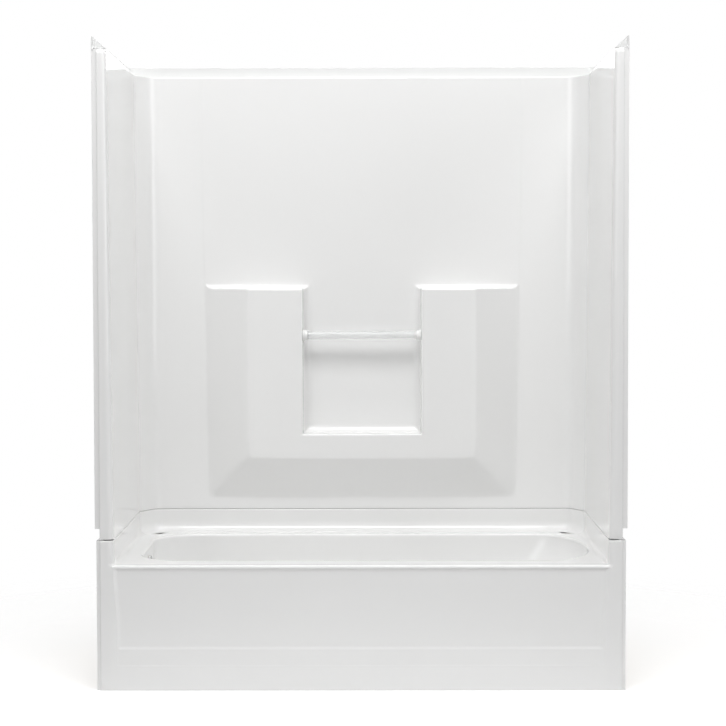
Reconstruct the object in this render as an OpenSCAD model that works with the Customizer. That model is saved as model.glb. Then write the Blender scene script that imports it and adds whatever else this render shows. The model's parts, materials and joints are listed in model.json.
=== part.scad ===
// Two-piece alcove bath and shower surround, front columns to -Y, centred on X and Y, standing on Z = 0.

/* [Part] */
// Part to draw

/* [Overall] */
// Width over the side flanges
unit_w = 1524; // [1500:1:1550]
// Depth from the column faces to the back flange
unit_d = 813; // [800:1:840]
// Height to the top of the wall flange
unit_h = 1867; // [1800:1:1950]
// Height of the tub ledge on which the walls stand
seam_z = 432; // [425:1:445]
// Height of the bath deck
deck_z = 359; // [352:1:366]
// Thickness of the moulded laminate
skin_t = 5; // [4:0.5:6]

/* [Walls] */
// Width of each front column face at the seam
col_w = 38; // [34:1:44]
// Width of the nailing fin beside each column
fin_w = 14; // [10:1:16]
// Set back of the nailing fin behind the column face
fin_set = 12; // [10:1:16]
// Gap below the upper nailing fin, measured from the seam
fin_notch = 34; // [20:1:50]
// Draft of the wall faces in degrees
draft = 0.48; // [0.3:0.02:0.6]
// Outward splay of each side wall from front to back
splay = 6.5; // [3:0.5:9]
// Distance from the back wall face at the seam to the back flange
back_gap = 40.5; // [38:0.5:46]
// Width of the corner facet along X
facet_x = 40.5; // [30:0.5:50]
// Depth of the corner facet along Y
facet_y = 73.5; // [60:0.5:90]
// Radius that softens both ends of the facet
facet_r = 36; // [20:1:40]
// Height of the wall flange above the top ledge
flange_h = 32; // [24:1:40]
// Radius of the rolled top edge of the walls
roll_r = 10; // [8:0.5:12]
// Radius of the inner edge of each column
bull_r = 10; // [8:0.5:12]

/* [Shelf block] */
// Height of the shelf top
shelf_z = 1149; // [1120:1:1180]
// Half width of the block front face
block_half = 367; // [350:1:380]
// Half width of the block where it meets the wall
block_root = 510; // [495:1:525]
// Projection of the block front face from the wall face
block_out = 81.5; // [76:0.5:86]
// Height of the lower edge of the front face
block_low = 602; // [590:1:615]
// Height at which the block underside meets the wall
block_toe = 462; // [455:1:470]
// Half width of the niche
niche_half = 190.5; // [180:0.5:200]
// Height of the niche floor at its front edge
niche_z = 682; // [665:1:700]
// Radius of the cove at the back of shelves and niche
cove_r = 22; // [16:1:26]

/* [Niche bar] */
// Diameter of the bar
bar_d = 26; // [22:0.5:30]
// Height of the bar axis
bar_z = 1000; // [980:1:1020]
// Distance of the bar axis behind the block front face
bar_in = 21; // [19:0.5:26]
// Clearance around the bar inside its sockets
bar_gap = 0.2; // [0.15:0.05:0.4]

/* [Bath] */
// Left end of the basin rim, distance from the centre
rim_left = 662; // [650:1:666]
// Right end of the basin rim, distance from the centre
rim_right = 698; // [680:1:700]
// Front edge of the basin rim behind the column face
rim_front = 105; // [100:1:115]
// Back edge of the basin rim behind the column face
rim_back = 698; // [680:1:702]
// Corner radius of the basin rim at the left end
rim_corner = 150; // [120:5:170]
// Half axis along X of the curved right end of the rim
rim_bow = 150; // [120:5:180]
// Radius that rolls the deck into the basin
rim_roll = 14; // [10:1:16]
// Height of the basin floor at the drain
floor_z = 62; // [58:1:70]
// Rise of the basin floor from the drain to the far end
floor_fall = 3; // [1:0.5:5]
// Left end of the basin floor, distance from the centre
floor_left = 615; // [600:1:625]
// Right end of the basin floor, distance from the centre
floor_right = 330; // [280:5:380]
// Inset of the basin floor from the rim at front and back
floor_in = 92; // [80:1:105]
// Drain hole diameter
drain_d = 50; // [44:1:54]
// Distance of the drain hole from the centre
drain_x = 530; // [510:1:540]
// Overflow hole diameter
over_d = 64; // [56:1:68]
// Height of the overflow hole centre
over_z = 300; // [290:1:305]

/* [Apron] */
// Height of the apron base step
base_z = 69; // [60:1:80]
// Height of the upper panel step
step_z = 120; // [105:1:135]
// Depth of the lower panel behind the columns
low_in = 6; // [4:0.5:8]
// Depth of the upper panel behind the columns
high_in = 14; // [11:0.5:17]
// Half width of the recess at its foot
panel_half = 700; // [694:1:704]
// Widening of the recess towards the deck, each side
panel_flare = 10; // [4:0.5:11]
// Width of the bevel around the recess
bevel_w = 10; // [6:0.5:12]

/* [Frame] */
// Height of the floor bearers
bearer_h = 38; // [34:1:42]
// Width of the floor bearers and legs
bearer_w = 38; // [32:1:44]
// Thickness of the backer boards
board_t = 12; // [9:1:15]
// Seating gap between a board and the laminate
seat = 0.3; // [0.2:0.05:0.4]
// Thickness of the seam gasket
gasket_t = 3; // [2:0.5:4]
// Thread diameter of the seam bolts
bolt_d = 6; // [5:0.5:6.5]
// Clearance of the bolt holes on the diameter
bolt_gap = 0.6; // [0.4:0.1:1]

/* [Hidden] */
$fn = 48;
gelcoat = [0.93, 0.93, 0.92];
timber = [0.76, 0.62, 0.42];
plywood = [0.80, 0.68, 0.50];
metal = [0.70, 0.71, 0.73];
foam = [0.30, 0.30, 0.31];

col_half = unit_w / 2 - fin_w;
wall_half = col_half - col_w;
back_y = unit_d - back_gap;
wall_start = 16;
wall_low = seam_z + gasket_t;
ledge_z = unit_h - flange_h;
tub_half = unit_w / 2 - 4;
corner_pts = 4;
outer_r = 25;
seam_flange = 30;
bolt_in = 15;
lean = tan(draft);

// outward shift of a wall face at height z
function shift(z) = (z - seam_z) * lean;
// inner face of a side wall, distance from the centre at depth y and height z
function side_face(y, z) = wall_half + splay * y / (back_y - facet_y) + shift(z);
// inner face of the back wall, depth at height z
function back_face(z) = back_y + shift(z);
function unit2(v) = v / norm(v);
function turn(a) = a > 180 ? a - 360 : a < -180 ? a + 360 : a;
// arc about c from angle a0 to a1 in n steps
function arc(c, r, a0, a1, n) =
    [for (i = [0:n]) let (a = a0 + (a1 - a0) * i / n) c + r * [cos(a), sin(a)]];
function ease(t) = let (u = max(0, min(1, t))) u * u * (3 - 2 * u);
// arc of radius r that rounds the corner q between p and s
function fillet(p, q, s, r, n) =
    let (u = unit2(p - q), v = unit2(s - q), half = acos(u * v) / 2,
        c = q + unit2(u + v) * r / sin(half), t = r / tan(half),
        e = q + u * t - c, g = q + v * t - c,
        a = atan2(e.y, e.x), da = turn(atan2(g.y, g.x) - a))
    arc(c, r, a, a + da, n);
function mirrored(p) = [for (i = [len(p) - 1:-1:0]) [-p[i].x, p[i].y]];

// plan of the inner wall faces at the seam: right half from the front to the back, then the left half
corner_a = [wall_half + splay, back_y - facet_y];
corner_b = [corner_a.x - facet_x, back_y];
start_a = [side_face(wall_start, seam_z), wall_start];
half_in = concat([start_a], fillet([wall_half, 0], corner_a, corner_b, facet_r, corner_pts),
    fillet(corner_a, corner_b, [0, back_y], facet_r, corner_pts));
path_in = concat(half_in, mirrored(half_in));
function half_out(half, back) = concat([[half, wall_start]],
    arc([half - outer_r, back - outer_r], outer_r, 0, 90, 2 * corner_pts + 1));
function path_out(half, back) = concat(half_out(half, back), mirrored(half_out(half, back)));
// normal of segment i, pointing away from the shower space
function seg_normal(p, i) = let (d = unit2(p[i + 1] - p[i])) [d.y, -d.x];
// mitre vector at point i; both ends stay in the plane of the front
function mitre(p, i) = let (last = len(p) - 1)
    i == 0 ? [1 / seg_normal(p, 0).x, 0] :
    i == last ? [1 / seg_normal(p, last - 1).x, 0] :
    let (a = seg_normal(p, i - 1), b = seg_normal(p, i)) (a + b) / (1 + a * b);
// rings of a profile [offset, height, on outer path] carried along the wall plan
function rings_along(inner, outer, prof) = [for (i = [0:len(inner) - 1])
    let (mi = mitre(inner, i), mo = mitre(outer, i))
    [for (q = prof) let (b = q[2] == 0 ? inner[i] + mi * q[0] : outer[i] + mo * q[0]) [b.x, b.y, q[1]]]];

// closed surface through rings of equal length, turned the right way out
// ends: "flat" for convex rings, "fan" for rings that need a centre,
// "strip" for rings whose point k faces point k counted from the other end
module skin(rings, ends = "flat") {
    m = len(rings[0]);
    n = len(rings);
    mids = [for (r = [rings[0], rings[n - 1]]) [for (p = r) 1] * r / m];
    pts = concat([for (r = rings) for (p = r) p], ends == "fan" ? mids : []);
    sides = [for (i = [0:n - 2]) for (k = [0:m - 1])
        let (a = i * m + k, b = i * m + (k + 1) % m, c = (i + 1) * m + (k + 1) % m, d = (i + 1) * m + k)
        for (f = [[a, b, c], [a, c, d]]) f];
    far = (n - 1) * m;
    caps = ends == "fan" ? [for (k = [0:m - 1]) for (f = [[(k + 1) % m, k, n * m],
            [far + k, far + (k + 1) % m, n * m + 1]]) f] :
        ends == "strip" ? [for (k = [0:m / 2 - 2]) let (q = m - 1 - k)
            for (f = [[k + 1, k, q - 1], [q - 1, k, q],
                [far + k, far + k + 1, far + q - 1], [far + k, far + q - 1, far + q]]) f] :
        [[for (k = [m - 1:-1:0]) k], [for (k = [0:m - 1]) far + k]];
    vols = [for (f = concat(sides, caps)) for (k = [1:len(f) - 2])
        pts[f[0]] * cross(pts[f[k]], pts[f[k + 1]])];
    whole = vols * [for (v = vols) 1];
    faces = concat(sides, caps);
    polyhedron(pts, whole > 0 ? [for (f = faces) [for (k = [len(f) - 1:-1:0]) f[k]]] : faces);
}

// ring of a sheet section from pairs [seen side, hidden side]
function sheet(pairs) = concat([for (p = pairs) p[0]], [for (i = [len(pairs) - 1:-1:0]) pairs[i][1]]);

module place() {
    translate([0, -unit_d / 2, 0]) children();
}

module block(lo, hi) {
    translate(lo) cube(hi - lo);
}

module both() {
    children();
    mirror([1, 0, 0]) children();
}

// extrudes a (y, z) outline along X over the half width w
module along_x(w) {
    translate([-w, 0, 0]) rotate([90, 0, 90]) linear_extrude(2 * w) children();
}

// positions of the seam bolts: [x, y]
bolt_pitch_y = 210;
bolt_pitch_x = 270;
bolt_sides = [for (k = [0:2]) let (y = 120 + k * bolt_pitch_y) [side_face(y, seam_z) + bolt_in, y]];
bolt_backs = [for (k = [-2:2]) [k * bolt_pitch_x, back_y + bolt_in]];
bolts = concat(bolt_sides, [for (b = bolt_sides) [-b.x, b.y]], bolt_backs);

// reach of the boards, battens and legs, taken from the outer sizes
board_half = unit_w / 2 - 202;
board_low = seam_z + 348;
board_high = ledge_z - 355;
board_front = 120;
board_back = unit_d - 193;
batten_half = board_half + 40;
rim_half = unit_w / 2 - 122;
board_r = 30;
end_cut = 9;

// surround: the wall laminate is one section carried round the wall plan
ledge_in = shift(ledge_z - roll_r);
wall_profile = sheet(concat(
    [[[seam_flange, wall_low, 0], [seam_flange, wall_low + skin_t, 0]],
        [[4, wall_low, 0], [skin_t + 4, wall_low + skin_t, 0]],
        [[shift(wall_low) + 1.2, wall_low + 1.2, 0], [skin_t + 1.3, wall_low + skin_t + 1.2, 0]],
        [[shift(wall_low + 4), wall_low + 4, 0], [shift(wall_low) + skin_t, wall_low + skin_t + 4, 0]]],
    [for (a = [0:22.5:90]) [[ledge_in + roll_r * (1 - cos(a)), ledge_z - roll_r + roll_r * sin(a), 0],
        [ledge_in + roll_r - (roll_r - skin_t) * cos(a), ledge_z - roll_r + (roll_r - skin_t) * sin(a), 0]]],
    [[[-skin_t, ledge_z, 1], [0, ledge_z - skin_t, 1]],
        [[-skin_t, unit_h - 1, 1], [0, unit_h - 1, 1]],
        [[1 - skin_t, unit_h, 1], [-1, unit_h, 1]]]));

// depth to which the column sheet turns back beside the wall
return_y = 42;
// plan ring of a column sheet whose inner edge lies at distance e from the centre
function column_ring(e, z) = let (c = [e + bull_r - 0.5, bull_r])
    [for (p = sheet(concat(
        [[[col_half, fin_set + skin_t], [col_half - skin_t, fin_set + skin_t]],
            [[col_half, 0], [col_half - skin_t, skin_t]]],
        [for (a = [-90:-15:-180]) [c + bull_r * [cos(a), sin(a)], c + (bull_r - skin_t) * [cos(a), sin(a)]]],
        [[[e - 0.5, bull_r + 3], [e + skin_t - 0.5, bull_r + 3]],
            [[e + 2.2, return_y], [e + skin_t, return_y]]])))
        [p.x, p.y, z]];

// filled plan ring of the column cap, drawn in by t
function cap_ring(e, t, z) = [for (p = concat([[col_half - t, return_y + 2], [col_half - t, t]],
    arc([e + bull_r, bull_r], bull_r - t, -90, -180, 6), [[e + t, return_y + 2]])) [p.x, p.y, z]];
// plan of the plate that closes a column at the seam, inner edge at e
function foot_plate(e) = [[e + 1, return_y - 2], [e + 1, bull_r], [e + bull_r, 1], [col_half - 1, 1],
    [col_half - 1, return_y - 2]];

module column_upper() {
    cap_low = ledge_z - bull_r - 0.4;
    skin([column_ring(wall_half + shift(wall_low), wall_low),
        column_ring(wall_half + shift(cap_low + 2), cap_low + 2)], "strip");
    edge = wall_half + shift(ledge_z);
    skin([for (a = [0:18:90]) cap_ring(edge, 0.15 + (bull_r - 1) * (1 - cos(a)), cap_low + bull_r * sin(a))]);
    block([col_half - skin_t + 1, fin_set, seam_z + fin_notch],
        [unit_w / 2, fin_set + skin_t - 0.4, ledge_z - 2]);
    translate([0, 0, wall_low + 0.4]) linear_extrude(skin_t - 1)
        polygon(foot_plate(wall_half + shift(wall_low)));
}

// outline of the shelf block at half width w, underside height z0 and top height z1, at depth y
function block_ring(w, z0, z1, y, r) = [for (p = concat([[w, z1]], arc([w - r, z0 + r], r, 0, -90, 5),
    arc([r - w, z0 + r], r, -90, -180, 5), [[-w, z1]])) [p.x, y, p.y]];
block_y = back_face(shelf_z) - block_out;
side_slope = (block_root - block_half) / block_out;
low_slope = (block_low - block_toe) / block_out;
// rectangle with corners of radius r
function rounded_plan(x0, x1, z0, z1, r) = concat(
    arc([x1 - r, z0 + r], r, -90, 0, 5), arc([x1 - r, z1 - r], r, 0, 90, 5),
    arc([x0 + r, z1 - r], r, 90, 180, 5), arc([x0 + r, z0 + r], r, 180, 270, 5));
// tapered body of the shelf block, drawn in by inset, carried back past the wall by open
module block_form(inset, open) {
    slope_in = inset * sqrt(1 + side_slope * side_slope);
    low_in_z = inset * sqrt(1 + low_slope * low_slope);
    edge = 10;
    reach = block_out + open;
    w0 = block_half - slope_in;
    z0 = block_low + low_in_z;
    top = shelf_z - inset;
    corner = 26;
    // rounded front edge: [spread of the sides, drop of the top, depth] at each ring
    rounding = [[1.2, edge * 0.7, inset], [2.6, edge * 0.32, inset + 0.9], [5, edge * 0.12, inset + 3.2],
        [edge, 0, inset + edge]];
    skin(concat([for (q = rounding)
        block_ring(w0 + side_slope * q[0], z0 - low_slope * q[0], top - q[1], block_y + q[2], corner)],
        [block_ring(w0 + side_slope * reach, z0 - low_slope * reach, top, block_y + reach, corner + 8)]));
}

// niche space, grown by g on the faces that the laminate covers
module niche_form(g) {
    back = [for (a = [-90:15:0]) let (r = cove_r + g, c = [back_face(niche_z) - cove_r, niche_z + cove_r])
        [c.x + r * cos(a), c.y + r * sin(a)]];
    top = shelf_z + 60;
    along_x(niche_half + g)
        polygon(concat([[block_y - 40, niche_z - g]], back,
            [[back_face(top) + 0.6 + g, top], [block_y - 40, top]]));
}

// cove between the shelf top and the wall behind it
module shelf_cove() {
    c = [back_face(shelf_z) - cove_r, shelf_z + cove_r];
    along_x(block_root - 12)
        polygon(concat([[c.x - 3, shelf_z - 0.8]], arc(c, cove_r, -90, 0, 6),
            [[back_face(shelf_z) + 2.4, c.y + 2], [back_face(shelf_z) + 2.4, shelf_z - 2]]));
}

module wall_sweep() {
    skin(rings_along(path_in, path_out(unit_w / 2, unit_d), wall_profile), "strip");
}

screw_hole = 5.4;
module surround_shell() {
    color(gelcoat) place() difference() {
        union() {
            difference() {
                union() {
                    wall_sweep();
                    block_form(0, 3.4);
                    difference() {
                        shelf_cove();
                        niche_form(0.01);
                    }
                }
                difference() {
                    block_form(skin_t, 40);
                    niche_form(skin_t);
                }
                difference() {
                    niche_form(0);
                    block([-unit_w, back_face(shelf_z) - 1, shelf_z + cove_r], [unit_w, unit_d, unit_h]);
                }
            }
            both() column_upper();
        }
        for (b = bolts) translate([b.x, b.y, wall_low - 1]) cylinder(d = bolt_d + bolt_gap, h = skin_t + 2);
        both() translate([niche_half - 1, block_y + bar_in, bar_z]) rotate([0, 90, 0])
            cylinder(d = screw_hole, h = skin_t + 2);
    }
}

// bath: basin, deck with its upstand, and apron, which meet face to face
meet = 0.1;
// plan outline of the basin, grown by g: left corner radius rl, right half axis rr
function basin_plan(xl, xr, yf, yb, rl, rr) = let (cy = (yf + yb) / 2, hy = (yb - yf) / 2)
    concat(
        arc([xl + rl, yf + rl], rl, 180, 270, 8),
        [for (i = [1:5]) [xl + rl + (xr - rr - xl - rl) * i / 6, yf]],
        [for (i = [0:22]) let (a = -90 + 180 * i / 22) [xr - rr + rr * cos(a), cy + hy * sin(a)]],
        [for (i = [1:5]) [xr - rr + (xl + rl - xr + rr) * i / 6, yb]],
        arc([xl + rl, yb - rl], rl, 90, 180, 8),
        [for (i = [1:2]) [xl, yb - rl + (yf - yb + 2 * rl) * i / 3]]);
function rim_plan(g) = basin_plan(-rim_left - g, rim_right + g, rim_front - g, rim_back + g,
    rim_corner + g, rim_bow + g);
function floor_plan(g) = basin_plan(-floor_left - g, floor_right + g, rim_front + floor_in - g,
    rim_back - floor_in + g, rim_corner * 0.7 + g, rim_bow * 1.3 + g);
// squareness of the wall section: steep walls, lazy backrest towards the right end
backrest_x = 150;
backrest_run = 480;
function squareness(x) = 0.5 + 0.75 * ease((x - backrest_x) / backrest_run);
// ring of the basin wall at angle a of its section, from the rim down to the floor
function wall_ring(a, g, z_top, z_low, fall) = let (r = rim_plan(g - rim_roll), f = floor_plan(g))
    [for (i = [0:len(r) - 1]) let (e = squareness(r[i].x), s = 1 - pow(cos(a), e), d = pow(sin(a), e),
        x = r[i].x + (f[i].x - r[i].x) * s, y = r[i].y + (f[i].y - r[i].y) * s)
        [x, y, z_top - (z_top - z_low) * d + fall * d * (x + drain_x) / (floor_right + drain_x)]];
function roll_ring(a, z) = [for (p = rim_plan(-rim_roll * sin(a))) [p.x, p.y, z - rim_roll * (1 - cos(a))]];
// angles of the wall rings, closer together near the rim and the floor
wall_steps = [for (k = [0:8]) 4 + 40 * (k / 8 + ease(k / 8))];
// lap of the rolled rim on the deck
rim_lap = 2;
// the whole bowl: seen face from the floor to the rim, then the hidden face back down
module basin_form() {
    hid = skin_t;
    last = len(wall_steps) - 1;
    fall = floor_fall / (floor_right + drain_x);
    skin(concat(
        [[for (p = floor_plan(-3)) [p.x, p.y, floor_z + fall * (p.x + drain_x)]]],
        [for (k = [last:-1:0]) wall_ring(wall_steps[k], 0, deck_z - rim_roll, floor_z, floor_fall)],
        [for (a = [90, 67.5, 45, 22.5]) roll_ring(a, deck_z)],
        [[for (p = rim_plan(rim_lap)) [p.x, p.y, deck_z]]],
        [[for (p = rim_plan(rim_lap)) [p.x, p.y, deck_z - hid]]],
        [[for (p = rim_plan(-rim_roll * 0.4)) [p.x, p.y, deck_z - hid - 2]]],
        [for (k = [0:last]) wall_ring(wall_steps[k], hid, deck_z - rim_roll - 1, floor_z - hid, 0)],
        [[for (p = floor_plan(hid - 3)) [p.x, p.y, floor_z - hid]]]), "fan");
}

// cove radius of the upstand and the lift of its toe above the deck
upstand_r = 14;
toe_lift = 0.2;
upstand_profile = sheet(concat(
    [[[-upstand_r - 3, deck_z - 0.7, 0], [-upstand_r - 3, deck_z - skin_t + 1.4, 0]]],
    [for (a = [-90:18:0]) [[upstand_r * (cos(a) - 1), deck_z + toe_lift + upstand_r * (1 + sin(a)), 0],
        [upstand_r * (cos(a) - 1) + skin_t * (0.05 + 0.95 * cos(a)),
            deck_z - skin_t + 1 + (upstand_r + 2) * (1 + sin(a)), 0]]],
    [[[0, seam_z - 4, 0], [skin_t, seam_z - skin_t - 4, 0]],
        [[1.2, seam_z - 1.2, 0], [skin_t + 1.2, seam_z - skin_t - 1.2, 0]],
        [[4, seam_z, 0], [skin_t + 4, seam_z - skin_t, 0]],
        [[0, seam_z, 1], [0, seam_z - skin_t, 1]]]));

// outline of the apron recess in the front plane, drawn in by t, from z0 up, flared towards the deck
flare_z = deck_z / 2;
flare_run = 160;
function recess_ring(t, z0, z1, y, r) = let (right = concat(
        arc([panel_half - t - r, z0 + r], r, -90, 0, 4),
        [for (z = concat([for (u = [0.1:0.2:0.9]) flare_z + flare_run * u], [z1]))
            [panel_half - t + panel_flare * ease((z - flare_z) / flare_run), z]]))
    [for (p = concat(right, [for (i = [len(right) - 1:-1:0]) [-right[i].x, right[i].y]])) [p.x, y, p.y]];

// height at which the apron's top turns back over the deck edge
apron_end = deck_z - 12;
// body of the apron behind its front face, or behind its hidden face
module apron_form(back) {
    set = 0.3;
    y0 = set + (back ? skin_t : 0);
    r = back ? 5 : 10;
    top = deck_z + 2 - (back ? skin_t : 0);
    difference() {
        along_x(back ? unit_w : wall_half + 12) polygon(concat(
            [[y0, back ? -5 : 0]], arc([set + 10, top - r], r, 180, 90, 5),
            back ? [[90, top], [90, -5]] : [[wall_start + 1, deck_z], [wall_start + 1, apron_end],
                [45, apron_end - 2], [45, 0]]));
        skin([recess_ring(-1, base_z - 1, deck_z - 13, y0 - 1.2, 12),
            recess_ring(bevel_w * 0.45, base_z + 5, deck_z - 18, y0 + low_in, 10)], "strip");
        skin([recess_ring(bevel_w * 0.2, step_z - 2, deck_z - 14, y0 + low_in - 5, 3),
            recess_ring(bevel_w, step_z + 6, deck_z - 24, y0 + high_in, 3)], "strip");
    }
}

// column below the seam: flat face with its fin, and a rounded inner edge above the deck
module column_lower() {
    in = wall_half + 4;
    linear_extrude(seam_z - 0.2) polygon([[in, 0], [col_half, 0], [col_half, fin_set], [tub_half, fin_set],
        [tub_half, fin_set + skin_t], [col_half - skin_t, fin_set + skin_t], [col_half - skin_t, skin_t],
        [in, skin_t]]);
    c = [wall_half + bull_r - 0.4, bull_r + 0.2];
    foot = deck_z - 8;
    translate([0, 0, foot]) linear_extrude(seam_z - 0.6 - foot) polygon(concat([[in + 16, 0.2]],
        arc(c, bull_r, -90, -180, 6), [[c.x - bull_r, bull_r + 3], [wall_half + 2.2, return_y],
            [wall_half + skin_t, return_y]],
        arc(c, bull_r - skin_t, -180, -90, 6), [[in + 16, skin_t + 0.2]]));
    translate([0, 0, seam_z - skin_t]) linear_extrude(skin_t - 0.4) polygon(foot_plate(wall_half));
}

function offset_plan(n) = [for (i = [0:len(path_in) - 1]) path_in[i] + mitre(path_in, i) * n];
deck_half = start_a.x + 2;
deck_plan = concat([[deck_half, wall_start - 3]], offset_plan(2), [[-deck_half, wall_start - 3]]);
mid_y = rim_front + (rim_back - rim_front) / 2;

module tub_basin() {
    color(gelcoat) place() difference() {
        basin_form();
        translate([-drain_x, mid_y, floor_z - 20]) cylinder(d = drain_d, h = 40);
        translate([-rim_left - 20, mid_y, over_z]) rotate([0, 90, 0]) cylinder(d = over_d, h = 70);
    }
}

// shallow dimples in the back corners of the deck
dimple_r = 19;
dimple_deep = 2.4;
module tub_deck() {
    color(gelcoat) place() difference() {
        union() {
            skin(rings_along(path_in, path_out(tub_half, unit_d - 1), upstand_profile), "strip");
            translate([0, 0, deck_z - skin_t]) linear_extrude(skin_t) difference() {
                polygon(deck_plan);
                polygon(rim_plan(rim_lap + meet));
            }
        }
        block([-unit_w, -unit_d, 0], [unit_w, wall_start, unit_h]);
        both() translate([rim_left - 4, back_y - dimple_r - 18, deck_z]) rotate_extrude()
            polygon(concat([for (t = [0:0.2:1]) [dimple_r * t, -dimple_deep * (1 - ease(t))]],
                [[dimple_r + 0.4, 0.6], [0, 0.6]]));
        for (b = bolts) translate([b.x, b.y, seam_z - skin_t - 1])
            cylinder(d = bolt_d + bolt_gap, h = skin_t + 2);
    }
}

module tub_apron() {
    color(gelcoat) place() difference() {
        union() {
            difference() {
                apron_form(false);
                apron_form(true);
            }
            both() column_lower();
        }
        block([-unit_w, wall_start - meet, apron_end], [unit_w, unit_d, unit_h]);
    }
}

// niche bar with its end sockets
bar_half = niche_half - seat - 3;
pilot_d = 4.6;
screw_d = 4.2;
module niche_bar() {
    color(gelcoat) place() translate([0, block_y + bar_in, bar_z]) difference() {
        rotate([0, 90, 0]) rotate_extrude() polygon([[0, -bar_half], [bar_d / 2 - 1, -bar_half],
            [bar_d / 2, 1 - bar_half], [bar_d / 2, bar_half - 1], [bar_d / 2 - 1, bar_half], [0, bar_half]]);
        both() translate([bar_half - 30, 0, 0]) rotate([0, 90, 0]) cylinder(d = pilot_d, h = 31);
    }
}

// bell shaped cup with a flared foot, closed at the niche side by a plate with a screw hole
foot_w = 5.5;
collar_w = 2.4;
foot_t = 4;
socket_l = 15;
module bar_socket() {
    r = bar_d / 2;
    hole = screw_d / 2 + 0.4;
    flare = [for (t = [0:15:90]) [r + foot_w - (foot_w - collar_w) * sin(t), foot_t + 8 * (1 - cos(t))]];
    translate([niche_half - seat / 2, block_y + bar_in, bar_z]) rotate([0, -90, 0]) rotate_extrude()
        polygon(concat([[hole, 0], [r + foot_w, 0]], flare,
            [[r + collar_w, socket_l], [r + bar_gap, socket_l], [r + bar_gap, 2.6], [hole, 2.6]]));
}
module bar_socket_left() {
    color(gelcoat) place() mirror([1, 0, 0]) bar_socket();
}
module bar_socket_right() {
    color(gelcoat) place() bar_socket();
}

module bar_screws() {
    color(metal) place() both() translate([niche_half + skin_t + seat, block_y + bar_in, bar_z])
        rotate([0, 90, 0]) {
            translate([0, 0, -skin_t - 26]) cylinder(d = screw_d, h = skin_t + 27);
            difference() {
                rotate_extrude() polygon([[0, 0], [5, 0], [5, 0.8], [4, 2.4], [2.4, 3.2], [0, 3.2]]);
                for (t = [0, 90]) rotate([0, 0, t]) block([-2.4, -0.5, 1.6], [2.4, 0.5, 4]);
            }
        }
}

// seam between the bath and the walls
module seam_gasket() {
    color(foam) place() difference() {
        skin(rings_along(path_in, path_in, [[5, seam_z + 0.1, 0], [seam_flange - 1, seam_z + 0.1, 0],
            [seam_flange - 1, wall_low - 0.1, 0], [5, wall_low - 0.1, 0]]));
        for (b = bolts) translate([b.x, b.y, seam_z - 1]) cylinder(d = bolt_d + bolt_gap, h = gasket_t + 2);
    }
}
washer_t = 1.6;
head_low = wall_low + skin_t + washer_t + 0.3;
nut_top = seam_z - skin_t - washer_t - 0.3;
module at_bolts() {
    for (b = bolts) translate([b.x, b.y, 0]) children();
}
module seam_bolts() {
    color(metal) place() at_bolts() {
        translate([0, 0, nut_top - 8]) cylinder(d = bolt_d, h = head_low - nut_top + 9);
        translate([0, 0, head_low]) intersection() {
            cylinder(d = bolt_d * 1.9, h = 4, $fn = 6);
            cylinder(r1 = bolt_d * 0.95, r2 = bolt_d * 0.8, h = 4);
        }
    }
}
module seam_washers() {
    color(metal) place() at_bolts() for (z = [wall_low + skin_t + 0.15, nut_top + 0.15])
        translate([0, 0, z]) difference() {
            cylinder(d = bolt_d * 1.9, h = washer_t);
            translate([0, 0, -1]) cylinder(d = bolt_d + 0.4, h = washer_t + 2);
        }
}
module seam_nuts() {
    color(metal) place() at_bolts() translate([0, 0, nut_top - 5]) difference() {
        cylinder(d = bolt_d * 1.85, h = 5, $fn = 6);
        translate([0, 0, -1]) cylinder(d = bolt_d + 0.2, h = 7);
    }
}

// floor frame under the basin
core_low = bearer_h + 0.2;
module floor_core() {
    color(plywood) place() translate([0, 0, core_low]) difference() {
        linear_extrude(floor_z - skin_t - seat - core_low) difference() {
            polygon(floor_plan(-8));
            translate([-drain_x, mid_y]) circle(d = drain_d + 30);
        }
    }
}
// timber laid along X with sloped ends
module bearer(x0, x1, y) {
    translate([0, y + bearer_w / 2, 0]) rotate([90, 0, 0]) linear_extrude(bearer_w)
        polygon([[x0, 0], [x1, 0], [x1, bearer_h * 0.5], [x1 - bearer_h * 0.5, bearer_h],
            [x0 + bearer_h * 0.5, bearer_h], [x0, bearer_h * 0.5]]);
}
bearer_off = (rim_back - rim_front) / 2 - floor_in - bearer_w - 12;
module bearer_front() {
    color(timber) place() bearer(-floor_left + 30, floor_right - 10, mid_y - bearer_off);
}
module bearer_middle() {
    color(timber) place() bearer(-drain_x + drain_d / 2 + 50, floor_right + 5, mid_y);
}
module bearer_rear() {
    color(timber) place() bearer(-floor_left + 30, floor_right - 10, mid_y + bearer_off);
}

// frame under the deck and behind the apron
under_deck = deck_z - skin_t - seat;
rail_t = 19;
module apron_stiffener() {
    y = 0.3 + high_in + skin_t + seat;
    color(plywood) place() translate([0, y + board_t, 0]) rotate([90, 0, 0]) linear_extrude(board_t)
        difference() {
            polygon(rounded_plan(-board_half, board_half, step_z + 16, deck_z - 34, 16));
            for (k = [-1:1]) translate([k * board_half / 2, (step_z + deck_z) / 2 - 9]) circle(d = 60);
        }
}
batten_y = 46;
back_batten_y = rim_back + 15;
module rim_batten_front() {
    color(timber) place() difference() {
        block([-rim_half, batten_y, under_deck - bearer_w], [rim_half, batten_y + bearer_w, under_deck]);
        end_cuts(rim_half, batten_y);
    }
}
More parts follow.
